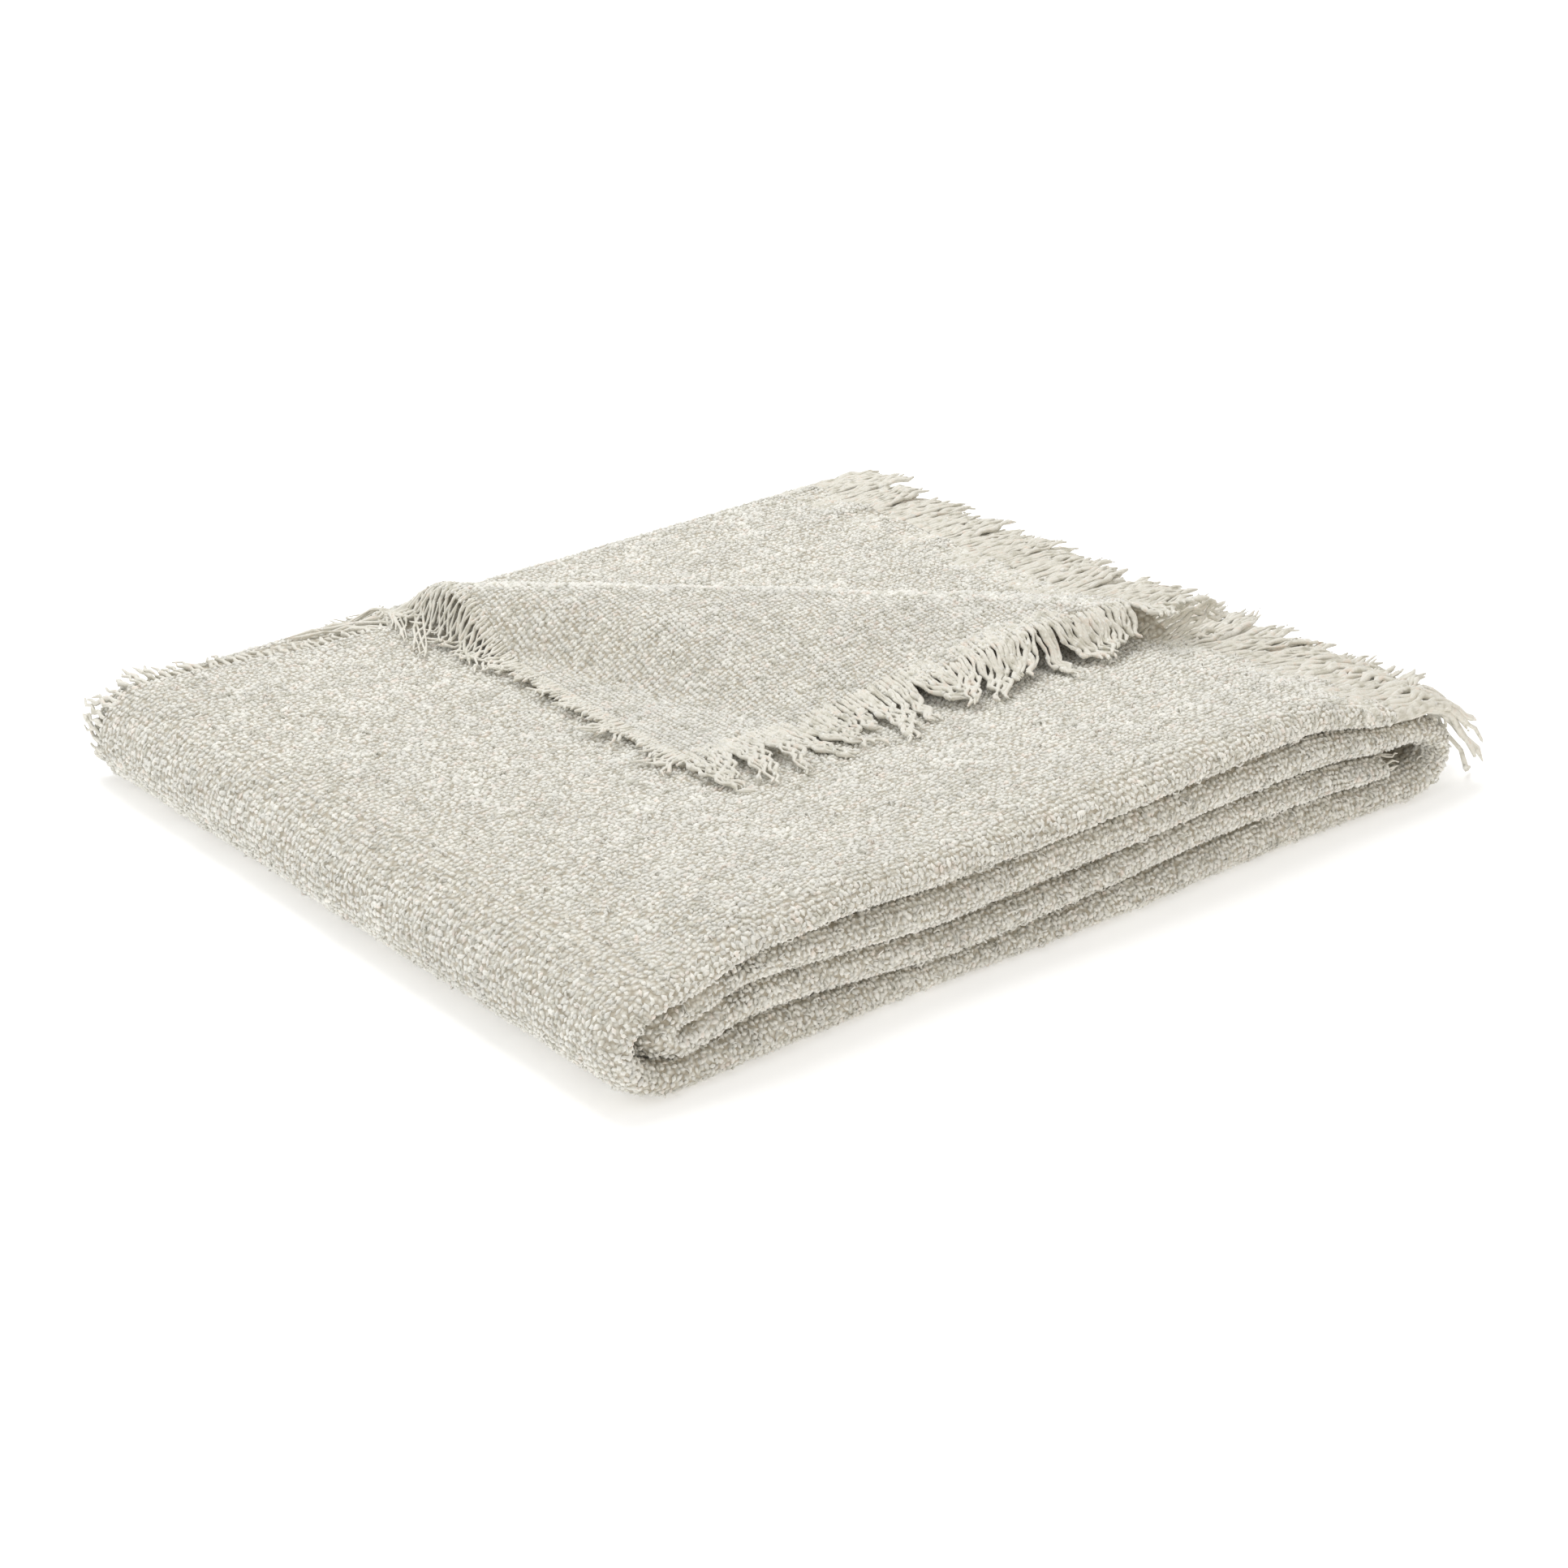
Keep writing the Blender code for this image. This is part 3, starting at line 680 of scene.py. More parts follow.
def lie_on_cloth(tree, axis):
    """A turn that lays Z along the point's yarn, and then points the given axis out of the cloth."""
    lie = tree.nodes.new("FunctionNodeAlignRotationToVector")
    lie.axis = "Z"
    tree.links.new(named_value(tree, "yarn_way", "FLOAT_VECTOR"), lie.inputs["Vector"])
    stand = tree.nodes.new("FunctionNodeAlignRotationToVector")
    stand.axis = axis
    stand.pivot_axis = "Z"
    tree.links.new(lie.outputs["Rotation"], stand.inputs["Rotation"])
    tree.links.new(named_value(tree, "outward", "FLOAT_VECTOR"), stand.inputs["Vector"])
    return stand.outputs["Rotation"]


def set_on_points(tree, entry, shape, axis, size):
    """One shape of a size on each point, with Z along its yarn and the axis out of the cloth."""
    place = tree.nodes.new("GeometryNodeInstanceOnPoints")
    tree.links.new(entry.outputs["Geometry"], place.inputs["Points"])
    tree.links.new(shape, place.inputs["Instance"])
    tree.links.new(lie_on_cloth(tree, axis), place.inputs["Rotation"])
    tree.links.new(size, place.inputs["Scale"])
    return place.outputs["Instances"]


def spin_yarn(tree, line, radius, sides):
    """A node that makes round yarn of a radius along a line."""
    ring = tree.nodes.new("GeometryNodeCurvePrimitiveCircle")
    ring.inputs["Resolution"].default_value = sides
    tree.links.new(radius, ring.inputs["Radius"])
    yarn = tree.nodes.new("GeometryNodeCurveToMesh")
    yarn.inputs["Fill Caps"].default_value = True
    tree.links.new(line, yarn.inputs["Curve"])
    tree.links.new(ring.outputs["Curve"], yarn.inputs["Profile Curve"])
    return yarn


def finish_tree(tree, entry, output, geometry):
    """Ends a tree: realized instances, smooth faces, and the finish of the piece."""
    realize = tree.nodes.new("GeometryNodeRealizeInstances")
    smooth = tree.nodes.new("GeometryNodeSetShadeSmooth")
    finish = tree.nodes.new("GeometryNodeSetMaterial")
    tree.links.new(geometry, realize.inputs["Geometry"])
    tree.links.new(realize.outputs["Geometry"], smooth.inputs["Geometry"])
    tree.links.new(smooth.outputs["Geometry"], finish.inputs["Geometry"])
    tree.links.new(entry.outputs["Material"], finish.inputs["Material"])
    tree.links.new(finish.outputs["Geometry"], output.inputs["Geometry"])
    return tree


LOOP_SEGMENTS = 6
LOOP_RINGS = 2
CURL_POINTS = 5
CURL_SIDES = 3
CURL_START = math.radians(-35.0)
CURL_SWEEP = math.radians(250.0)
STRAND_SIDES = 5


def loop_tree():
    """Sets one small bulge of yarn on each point, along its yarn and square to the cloth."""
    tree, entry, output = new_tree("Loop yarn", {
        "Loop Length": "Float", "Loop Width": "Float", "Loop Height": "Float",
        "Unevenness": "Float", "Seed": "Int",
    })
    bulge = tree.nodes.new("GeometryNodeMeshUVSphere")
    bulge.inputs["Segments"].default_value = LOOP_SEGMENTS
    bulge.inputs["Rings"].default_value = LOOP_RINGS
    bulge.inputs["Radius"].default_value = 0.5
    size = tree.nodes.new("ShaderNodeCombineXYZ")
    tree.links.new(entry.outputs["Loop Height"], size.inputs["X"])
    tree.links.new(entry.outputs["Loop Width"], size.inputs["Y"])
    tree.links.new(entry.outputs["Loop Length"], size.inputs["Z"])
    uneven = tree.nodes.new("FunctionNodeRandomValue")
    uneven.data_type = "FLOAT_VECTOR"
    spread = entry.outputs["Unevenness"]
    tree.links.new(add_math(tree, "SUBTRACT", 1.0, spread), uneven.inputs["Min"])
    tree.links.new(add_math(tree, "ADD", 1.0, spread), uneven.inputs["Max"])
    tree.links.new(entry.outputs["Seed"], uneven.inputs["Seed"])
    scale = add_vector_math(tree, "MULTIPLY", size.outputs["Vector"], uneven.outputs["Value"], 1)
    scale = add_vector_math(tree, "SCALE", scale, named_value(tree, "bulk", "FLOAT"), "Scale")
    loops = set_on_points(tree, entry, bulge.outputs["Mesh"], "X", scale)
    return finish_tree(tree, entry, output, loops)


def curl_tree():
    """Sets a small standing curl of thin yarn on each point."""
    tree, entry, output = new_tree("Curls of yarn", {"Curl Size": "Float", "Curl Thickness": "Float"})
    arc = tree.nodes.new("GeometryNodeCurveArc")
    arc.inputs["Resolution"].default_value = CURL_POINTS
    arc.inputs["Radius"].default_value = 0.5
    arc.inputs["Start Angle"].default_value = CURL_START
    arc.inputs["Sweep Angle"].default_value = CURL_SWEEP
    yarn = spin_yarn(tree, arc.outputs["Curve"], entry.outputs["Curl Thickness"], CURL_SIDES)
    size = add_math(tree, "MULTIPLY", entry.outputs["Curl Size"], named_value(tree, "bulk", "FLOAT"))
    curls = set_on_points(tree, entry, yarn.outputs["Mesh"], "Y", size)
    return finish_tree(tree, entry, output, curls)


def strand_tree():
    """Gives each line its yarn, as thick at each point as the line says."""
    tree, entry, output = new_tree("Fringe yarn", {"Thickness": "Float"})
    line = tree.nodes.new("GeometryNodeMeshToCurve")
    tree.links.new(entry.outputs["Geometry"], line.inputs["Mesh"])
    radius = add_math(tree, "MULTIPLY", entry.outputs["Thickness"], 0.5)
    yarn = spin_yarn(tree, line.outputs["Curve"], radius, STRAND_SIDES)
    tree.links.new(named_value(tree, "thickness", "FLOAT"), yarn.inputs["Scale"])
    return finish_tree(tree, entry, output, yarn.outputs["Mesh"])


def grow(name, mesh, tree, values):
    """Runs a tree on a mesh and keeps the result as a plain mesh in an object of that name."""
    guide = show(name + "_guide", mesh)
    modifier = guide.modifiers.new("Growth", "NODES")
    modifier.node_group = tree
    for socket in tree.interface.items_tree:
        if socket.in_out == "INPUT" and socket.name in values:
            modifier[socket.identifier] = values[socket.name]
    guide.update_tag()
    bpy.context.view_layer.update()
    evaluated = guide.evaluated_get(bpy.context.evaluated_depsgraph_get())
    made = bpy.data.meshes.new_from_object(evaluated)
    made.name = name
    bpy.data.objects.remove(guide, do_unlink=True)
    return show(name, made)


# The folded sheet


def path_rows(parts, sizes):
    """Flat distances of the rows of points along a path, evenly spaced in each of its parts."""
    rows = [0.0]
    for part, size in zip(parts, sizes):
        start = rows[-1]
        rows += [start + size * (step + 1) / part.cells for step in range(part.cells)]
    return np.array(rows)


def make_sheet(settings):
    rows = path_rows(ALONG, [part.length for part in ALONG])
    columns = path_rows(ACROSS, [part.width for part in ACROSS])
    place, _, _, _ = surface_grid(rows, columns)
    wide = len(columns)
    faces = [
        (corner, corner + 1, corner + wide + 1, corner + wide)
        for row in range(len(rows) - 1)
        for corner in range(row * wide, row * wide + wide - 1)
    ]
    mesh = make_mesh("woven_sheet", place.reshape(-1, 3), [], faces)
    flat = np.stack(np.meshgrid(rows, columns, indexing="ij"), axis=-1).reshape(-1, 2)
    layer = mesh.uv_layers.new(name="UVMap")
    corners = np.zeros(len(mesh.loops), dtype=int)
    mesh.loops.foreach_get("vertex_index", corners)
    layer.data.foreach_set("uv", flat[corners].ravel())
    mesh.shade_smooth()
    mesh.materials.append(ground_material(settings))
    item = show("woven_sheet", mesh)
    thickness = item.modifiers.new("Cloth thickness", "SOLIDIFY")
    thickness.thickness = CLOTH
    thickness.offset = 0.0
    return item


# The loop yarn: bulges of warp and weft in turn on each face that shows. A patch of it runs from
# start to stop along the sheet and from first to last across it, on the outer side, 1, or the
# inner one, -1. Its bulges stray by that share from their places, and it keeps those that show.

Patch = namedtuple("Patch", "name start stop first last side stray keep")
FLAP_COVER_X = 0.128
FLAP_COVER_Y = 0.125
ROLL_START = -0.004
RIM_TURN = 2.70
RIM_WIDTH = 0.40
RIM_BULK = 0.35
PLAIN_BULK = 0.92
SLUB_LENGTH = 0.0065
SLUB_BULK = 0.48
SLUB_START = 0.2
LOOP_REST = 0.0012
SHADE_SPREAD = 0.055
# Painted shade on the turned back flap
PAINTED_FLAP_SHADE = 0.95
# Painted highlight along the rim of the corner's roll
PAINTED_RIM_HIGHLIGHT = 1.03
LOOP_SEED, SLUB_SEED, BEAD_LOOP_SEED = 100, 300, 50


def shows_on_top(x, y, past):
    covered = (x > FLAP_COVER_X) & (y > FLAP_COVER_Y)
    return (past < 0.0) & ~covered


def shows_on_flap(x, y, past):
    return past > 0.0


def shows_under_corner(x, y, past):
    return past > ROLL_START


def shows_all(x, y, past):
    return np.full_like(x, True, dtype=bool)


TOP = (TOP_START, CLOTH_LENGTH)
RIGHT_WRAP = (RIGHT_WRAP_START, RIGHT_WRAP_STOP)
PATCHES = (
    Patch("loops_top", *TOP, 0.0, FRONT_START, 1.0, 1.0, shows_on_top),
    Patch("loops_corner", *TOP, 0.0, FRONT_START, -1.0, 0.6, shows_on_flap),
    Patch("loops_under_corner", *TOP, UNDER_START, UNDER_STOP, 1.0, 1.0, shows_under_corner),
    Patch("loops_left", LEFT_WRAP_START, TOP_START, 0.0, FRONT_START, 1.0, 1.0, shows_all),
    Patch("loops_front", 0.0, CLOTH_LENGTH, FRONT_START, FRONT_STOP, 1.0, 1.0, shows_all),
    Patch("loops_right", *RIGHT_WRAP, 0.0, FRONT_START, 1.0, 1.0, shows_all),
    Patch("loops_back", 0.0, CLOTH_LENGTH, BACK_START, UNDER_START, 1.0, 1.0, shows_all),
)


def rim_share(past):
    """How near a place is to the rim, which is the last part of the corner's roll."""
    return np.exp(-((past / ROLL_AT_MIDDLE - RIM_TURN) / RIM_WIDTH) ** 2)


def loop_bulk(s, t, past, side, number):
    """How big each bulge is: slubs here and there, and a thick rim where the corner rolls back."""
    noise = soft_noise(s / SLUB_LENGTH, t / SLUB_LENGTH, SLUB_SEED + number)
    bulk = PLAIN_BULK + SLUB_BULK * np.clip(noise - SLUB_START, 0.0, 1.0)
    if side < 0.0:
        bulk = bulk + RIM_BULK * rim_share(past)
    return bulk


def loop_shade(past, side, draws):
    """How light each bulge is: uneven in its own tone, with painted shade on the turned back side and a
    painted highlight on its rim.
    """
    shade = 1.0 + draws.normal(0.0, SHADE_SPREAD, len(past))
    if side < 0.0:
        shade = shade * (PAINTED_FLAP_SHADE + (PAINTED_RIM_HIGHLIGHT - PAINTED_FLAP_SHADE) * rim_share(past))
    return shade


def yarn_points(name, rest, place, way, outward, bulk, shade):
    """Points that say how a bulge or curl of yarn lies on each, none of them lower than rest."""
    place[:, 2] = np.maximum(place[:, 2], rest)
    mesh = make_mesh(name + "_points", place, [], [])
    store(mesh, "yarn_way", "FLOAT_VECTOR", way)
    store(mesh, "outward", "FLOAT_VECTOR", outward)
    store(mesh, "bulk", "FLOAT", bulk)
    store(mesh, "shade", "FLOAT", shade)
    return mesh


def grow_loops(name, points, settings, seed, tree, material):
    """Bulges of yarn on points, which are given by place, yarn's way, outward way, bulk and shade."""
    return grow(name, yarn_points(name, LOOP_REST, *points), tree, {
        "Loop Length": settings.loop_length,
        "Loop Width": settings.loop_width,
        "Loop Height": settings.loop_height,
        "Unevenness": settings.unevenness,
        "Seed": seed,
        "Material": material,
    })


def make_loops(settings, patch, number, tree, material):
    """One patch of the weave: a bulge for each crossing, warp and weft in turn, a little astray."""
    pitch = settings.yarn_pitch
    rows = np.arange(patch.start + 0.5 * pitch, patch.stop, pitch)
    columns = np.arange(patch.first + 0.5 * pitch, patch.last, pitch)
    place, outward, along, across = surface_grid(rows, columns, patch.side)
    s, t = (flat.ravel() for flat in np.meshgrid(rows, columns, indexing="ij"))
    row, column = np.indices((len(rows), len(columns)))
    draws = np.random.default_rng(LOOP_SEED + number)
    warp = ((row + column) % 2 == 0)[..., None]
    way = np.where(warp, along, across)
    turn = draws.normal(0.0, patch.stray * settings.loop_turn, row.shape)[..., None]
    way = unit(way + turn * np.where(warp, across, -along))
    drift = draws.uniform(-1.0, 1.0, (*row.shape, 2)) * patch.stray * settings.loop_drift * pitch
    place = place + along * drift[..., :1] + across * drift[..., 1:]
    x, y = top_flat_place(s, t)
    _, past, _ = past_crease(x, y)
    kept = patch.keep(x, y, past)
    bulk = loop_bulk(s, t, past, patch.side, number)[kept]
    shade = loop_shade(past, patch.side, draws)[kept]
    place, way, outward = (grid.reshape(-1, 3)[kept] for grid in (place, way, outward))
    return grow_loops(patch.name, (place, way, outward, bulk, shade), settings, number, tree, material)


CURL_NUMBER = {
    "loops_top": 750, "loops_corner": 400, "loops_under_corner": 350, "loops_left": 250,
    "loops_front": 750, "loops_right": 100,
}
CURL_TURN = 0.6
CURL_REST = 0.0030
CURL_BULKS = (0.5, 1.3)
CURL_SEED = 500


def make_curls(settings, tree, material):
    """Thin curls of yarn that stand out of the cloth here and there, all in one piece."""
    draws = np.random.default_rng(CURL_SEED)
    curls = []
    for patch in PATCHES:
        number = CURL_NUMBER.get(patch.name, 0)
        if not number:
            continue
        s = draws.uniform(patch.start, patch.stop, number)
        t = draws.uniform(patch.first, patch.last, number)
        x, y = top_flat_place(s, t)
        _, past, _ = past_crease(x, y)
        kept = patch.keep(x, y, past)
        place, outward, along, across = surface_at(s[kept], t[kept], patch.side)
        turn = draws.uniform(0.0, math.tau, len(place))[:, None]
        way = unit(np.cos(turn) * along + np.sin(turn) * across)
        outward = unit(outward + draws.normal(0.0, CURL_TURN, outward.shape))
        curls.append((place, way, outward, draws.uniform(*CURL_BULKS, len(place))))
    points = [np.concatenate(values) for values in zip(*curls)]
    mesh = yarn_points("curls", CURL_REST, *points, np.ones(len(points[0])))
    return grow("curls", mesh, tree, {
        "Curl Size": settings.curl_size,
        "Curl Thickness": settings.curl_thickness,
        "Material": material,
    })


# The frayed fringes, each with a style: how its strands are bunched into locks, how they lean, how
# long they are as a share of the fringe's length, and how they curl, rise and tangle

Fringe = namedtuple("Fringe", "name node edge start stop pitch length root points style")
Style = namedtuple(
    "Style", "lock gather lean shortest longest curl curl_length thickness ragged lift tangle"
)
LOCKED = Style(
    lock=0.0095, gather=0.60, lean=0.20, shortest=0.55, longest=0.98, curl=0.0012, curl_length=0.010,
    thickness=0.88, ragged=0.16, lift=0.0040, tangle=1.0,
)
TOOTHED = Style(
    lock=0.023, gather=0.25, lean=0.08, shortest=0.70, longest=0.86, curl=0.0007, curl_length=0.014,
    thickness=1.0, ragged=0.06, lift=0.0010, tangle=0.35,
)
KNOTTED = Style(
    lock=0.012, gather=0.30, lean=0.20, shortest=0.10, longest=0.50, curl=0.0016, curl_length=0.006,
    thickness=0.62, ragged=0.45, lift=0.0015, tangle=1.1,
)
SPARSE = Style(
    lock=0.004, gather=0.0, lean=0.12, shortest=0.45, longest=0.80, curl=0.0009, curl_length=0.006,
    thickness=0.85, ragged=0.22, lift=0.0, tangle=0.0,
)
HIDDEN = Style(
    lock=0.009, gather=0.10, lean=0.50, shortest=0.30, longest=0.60, curl=0.0016, curl_length=0.009,
    thickness=0.35, ragged=0.30, lift=0.0, tangle=0.0,
)
FRINGES = (
    Fringe(
        "side_strands", "side_fringe", "open side", start=0.0, stop=CREASE_S,
        pitch=0.0032, length=SHORT_FRINGE, root=0.003, points=8, style=SPARSE,
    ),
    Fringe(
        "corner_side_strands", "corner_side_fringe", "open side", start=CREASE_S, stop=CLOTH_LENGTH,
        pitch=0.0017, length=SHORT_FRINGE, root=0.004, points=9, style=KNOTTED,
    ),
    Fringe(
        "corner_end_strands", "corner_end_fringe", "outer end", start=0.0, stop=CREASE_T,
        pitch=0.0018, length=LONG_FRINGE, root=0.010, points=20, style=LOCKED,
    ),
    Fringe(
        "end_strands", "end_fringe", "outer end", start=CREASE_T, stop=CLOTH_WIDTH,
        pitch=0.0020, length=LONG_FRINGE, root=0.016, points=17, style=TOOTHED,
    ),
    Fringe(
        "hidden_side_strands", "hidden_side_fringe", "hidden side", start=0.0, stop=CLOTH_LENGTH,
        pitch=0.0100, length=SHORT_FRINGE, root=0.003, points=4, style=HIDDEN,
    ),
    Fringe(
        "hidden_end_strands", "hidden_end_fringe", "inner end", start=0.0, stop=CLOTH_WIDTH,
        pitch=0.0040, length=HIDDEN_FRINGE, root=0.003, points=7, style=HIDDEN,
    ),
)
STRAND_SEED, BEAD_SEED = 200, 400
STRAND_REST = 0.0020
LOCK_SIZES = (0.6, 1.5)
PITCH_SHIFT = 0.15
RAGGED_MOST = 0.6
TOOTH_SLANT = 0.30
TOOTH_START = 0.2
LEFT_REACH_EXTRA = 0.30

# The strands on and beside the corner's roll. Side strands are long there and cross in a net, and
# reach further from a high edge. End strands are short there, and longer away from the roll. Both
# fall from the raised corner to the layer below, all but the end strands on the roll itself.
ROLLED_END_SHARE = 0.75
ROLLED_SIDE_REACH = 1.15
ROLLED_SIDE_LEANS = (-1.15, 0.85)
ROLLED_SIDE_BULK = 1.05
BESIDE_ROLL = 0.030
BESIDE_ROLL_SHARE = 0.55
NET_LEAN = 0.80
HANG_REACH = 30.0
HANG_MOST = 0.008
CORNER_FALL = 0.95
FALL_STEEPNESS = 2.0
FALL_CLEAR = 0.0030

# The stray strands at the corner's tip, which spread to both sides
CORNER_FAN = 0.50
FAN_WIDTH = 0.018
TIP_LENGTH = 0.50
TIP_WIDTH = 0.012
TIP_FINE = 0.35

# The strands at the front of the outer end, which hang down off the stack
DROOP_START_X = 0.362
DROOP_LENGTH = 0.020
DROOP = 0.013
DROOP_DEPTH = 0.070
DROOP_FADE = 0.045
DROOP_LENGTHS = (1.05, 1.42)
DROOP_SHARES = (0.5, 1.2)
DROOP_BULK = 0.30

# How a strand rises and falls along its length, and how its yarn changes in thickness
RISE_SHARE = 0.6
FREE_MOST = 1.2
LEAN_AT_ROOT = 0.4
UNEVEN_BULK = 0.30
UNEVEN_MOST = 1.5
TAPER = 0.30
TAPER_START = 0.25
TIP_START = 0.98
TIP_BULK = 0.5


def fringe_place(edge, along, out):
    """Flat place of a fringe's points, a distance along their edge and a distance outside it."""
    if edge == "outer end":
        return CLOTH_LENGTH + out, along
    if edge == "inner end":
        return -out, along
    if edge == "open side":
        return along, -out
    return along, CLOTH_WIDTH + out


def front_share(fringe, along):
    """How near a strand of the outer end is to the stack's front, where such strands hang down."""
    if fringe.name != "end_strands":
        return np.zeros_like(along)
    y = OPEN_EDGE - along
    return np.where(along <= FRONT_STOP, ease((DROOP_DEPTH - y) / DROOP_FADE), 0.0)


def past_roll(s, t):
    """How far flat places of the top layer lie past the end of the corner's roll."""
    along, past, _ = past_crease(*top_flat_place(s, t))
    return past - math.pi * roll_radius(along)


def height_above_top(place):
    """How high places are above the top layer, as it would lie if its corner weren't turned back."""
    x, y = place[..., 0] + FOOTPRINT_MIDDLE[0], place[..., 1] + FOOTPRINT_MIDDLE[1]
    return place[..., 2] - top_layer_height(x, y)


def corner_fan(fringe, along, out):
    """How far the strands at the corner's tip spread to both sides of it."""
    if fringe.name == "corner_end_strands":
        return -CORNER_FAN * np.exp(-along / FAN_WIDTH)[:, None] * np.maximum(out, 0.0)
    if fringe.name == "corner_side_strands":
        near_tip = np.exp((along - CLOTH_LENGTH) / FAN_WIDTH)[:, None]
        return 0.5 * CORNER_FAN * near_tip * np.maximum(out, 0.0)
    return 0.0


# All that is random in a fringe, for its strands or for its locks
Chance = namedtuple(
    "Chance", "shift edges lean reach ragged droop_length phase lift lock_lift droop bulk"
)


def draw_chances(fringe, number, count):
    """Draws it all in one order, for more locks than any fringe has."""
    style = fringe.style
    draws = np.random.default_rng(STRAND_SEED + number)
    locks = 4 + int(2.0 * CLOTH_LENGTH / style.lock)
    return Chance(
        shift=draws.normal(0.0, PITCH_SHIFT * fringe.pitch, count),
        edges=draws.uniform(*LOCK_SIZES, locks),
        lean=draws.normal(0.0, style.lean, locks),
        reach=draws.uniform(style.shortest, style.longest, locks),
        ragged=draws.normal(0.0, style.ragged, count).clip(-RAGGED_MOST, RAGGED_MOST),
        droop_length=draws.uniform(*DROOP_LENGTHS, count),
        phase=draws.uniform(0.0, math.tau, count)[:, None],
        lift=draws.normal(0.0, RISE_SHARE, count)[:, None],
        lock_lift=draws.uniform(0.0, style.lift, locks),
        droop=draws.uniform(*DROOP_SHARES, count)[:, None],
        bulk=draws.normal(0.0, 1.0, (count, fringe.points)).clip(-UNEVEN_MOST, UNEVEN_MOST),
    )


# The strands of one fringe: where each starts along its edge, the number and end of its lock, how
# near it is to the stack's front, and whether it starts on the corner's roll
Strands = namedtuple("Strands", "along lock lock_end near on_roll")


def lay_strands(fringe, chance):
    """Sets a fringe's strands out along its edge, each in its lock."""
    count = len(chance.shift)
    along = fringe.start + (np.arange(count) + 0.5) * (fringe.stop - fringe.start) / count
    along = along + chance.shift
    edges = np.cumsum(chance.edges * fringe.style.lock) + fringe.start
    lock = np.searchsorted(edges, along)
    on_roll = np.zeros(count, dtype=bool)
    if fringe.name in ("corner_side_strands", "corner_end_strands"):
        on_roll = past_roll(*fringe_place(fringe.edge, along, np.zeros(count))) < 0.0
    return Strands(along, lock, edges[lock], front_share(fringe, along), on_roll)


def strand_reach(fringe, chance, strands):
    """Length of each strand, as a share of the fringe's length."""
    along = strands.along
    reach = chance.reach[strands.lock] * (1.0 + chance.ragged)
    if fringe.style == TOOTHED:
        in_lock = np.clip(1.0 - (strands.lock_end - along) / fringe.style.lock, 0.0, 1.0)
        reach = reach + TOOTH_SLANT * (in_lock - TOOTH_START)
    reach = reach + strands.near * (chance.droop_length - reach)
    s, t = fringe_place(fringe.edge, along, np.zeros(len(along)))
    if fringe.name == "side_strands":
        x, _ = top_flat_place(s, t)
        reach = reach + LEFT_REACH_EXTRA * ease((SPREAD_STOP_X - x) / (SPREAD_STOP_X - LEFT_TURN))
    if fringe.name == "corner_end_strands":
        reach = reach + TIP_LENGTH * np.exp(-along / TIP_WIDTH)
        beyond = ease(past_roll(s, t) / BESIDE_ROLL)
        reach = reach * (BESIDE_ROLL_SHARE + (1.0 - BESIDE_ROLL_SHARE) * beyond)
        reach = np.where(strands.on_roll, ROLLED_END_SHARE / BESIDE_ROLL_SHARE * reach, reach)
    if fringe.name == "corner_side_strands":
        reach = np.where(strands.on_roll, ROLLED_SIDE_REACH, reach)
        height = height_above_top(folded_place(s, t))
        reach = reach + HANG_REACH * np.clip(height - CORNER_LIFT, 0.0, HANG_MOST)
    return reach


def strand_lean(fringe, chance, strands):
    """How far each strand leans along its edge. The corner's side strands cross in a net."""
    lean = chance.lean[strands.lock]
    if fringe.name == "corner_side_strands":
        even = np.arange(len(lean)) % 2 == 0
        lean = lean + np.where(even, NET_LEAN, -NET_LEAN)
        lean = np.where(strands.on_roll, np.where(even, *ROLLED_SIDE_LEANS), lean)
    return lean


def raise_and_drop(fringe, chance, strands, place, free, wind):
    """Lets strands curl up and down, fall from the corner, rise in locks, and hang off the stack."""
    style = fringe.style
    lift = chance.lift + np.sin(wind + 2.0 * chance.phase)
    place[..., 2] += RISE_SHARE * style.curl * (lift * free + 1.0 - free)
    if fringe.name in ("corner_side_strands", "corner_end_strands"):
        above = np.maximum(height_above_top(place) - FALL_CLEAR, 0.0)
        stays = strands.on_roll & (fringe.edge == "outer end")
        fall = CORNER_FALL * above * ease(FALL_STEEPNESS * free)
        place[..., 2] -= fall * np.where(stays, 0.0, 1.0)[:, None]
    lock_lift = chance.lock_lift[strands.lock][:, None]
    place[..., 2] += lock_lift * np.sin(math.pi * np.minimum(free, 1.0))
    past = np.maximum(place[..., 0] + FOOTPRINT_MIDDLE[0] - DROOP_START_X, 0.0) / DROOP_LENGTH
    place[..., 2] -= DROOP * strands.near[:, None] * past * past * chance.droop
    place[..., 2] = np.maximum(place[..., 2], STRAND_REST)


def strand_bulk(fringe, chance, strands, share, free):
    """Thickness of the yarn at each point, as a share of the plain thickness."""
    bulk = 1.0 + UNEVEN_BULK * chance.bulk
    bulk = bulk * (1.0 - TAPER * ease(free - TAPER_START)) * np.where(share > TIP_START, TIP_BULK, 1.0)
    bulk = bulk * (1.0 + DROOP_BULK * strands.near)[:, None]
    if fringe.edge == "open side":
        bulk = bulk * np.where(strands.on_roll, ROLLED_SIDE_BULK, 1.0)[:, None]
    if fringe.name == "corner_end_strands":
        fine = (strands.along < TIP_WIDTH) & (np.arange(len(bulk)) % 3 == 1)
        bulk = bulk * np.where(fine, TIP_FINE, 1.0)[:, None]
    return fringe.style.thickness * bulk


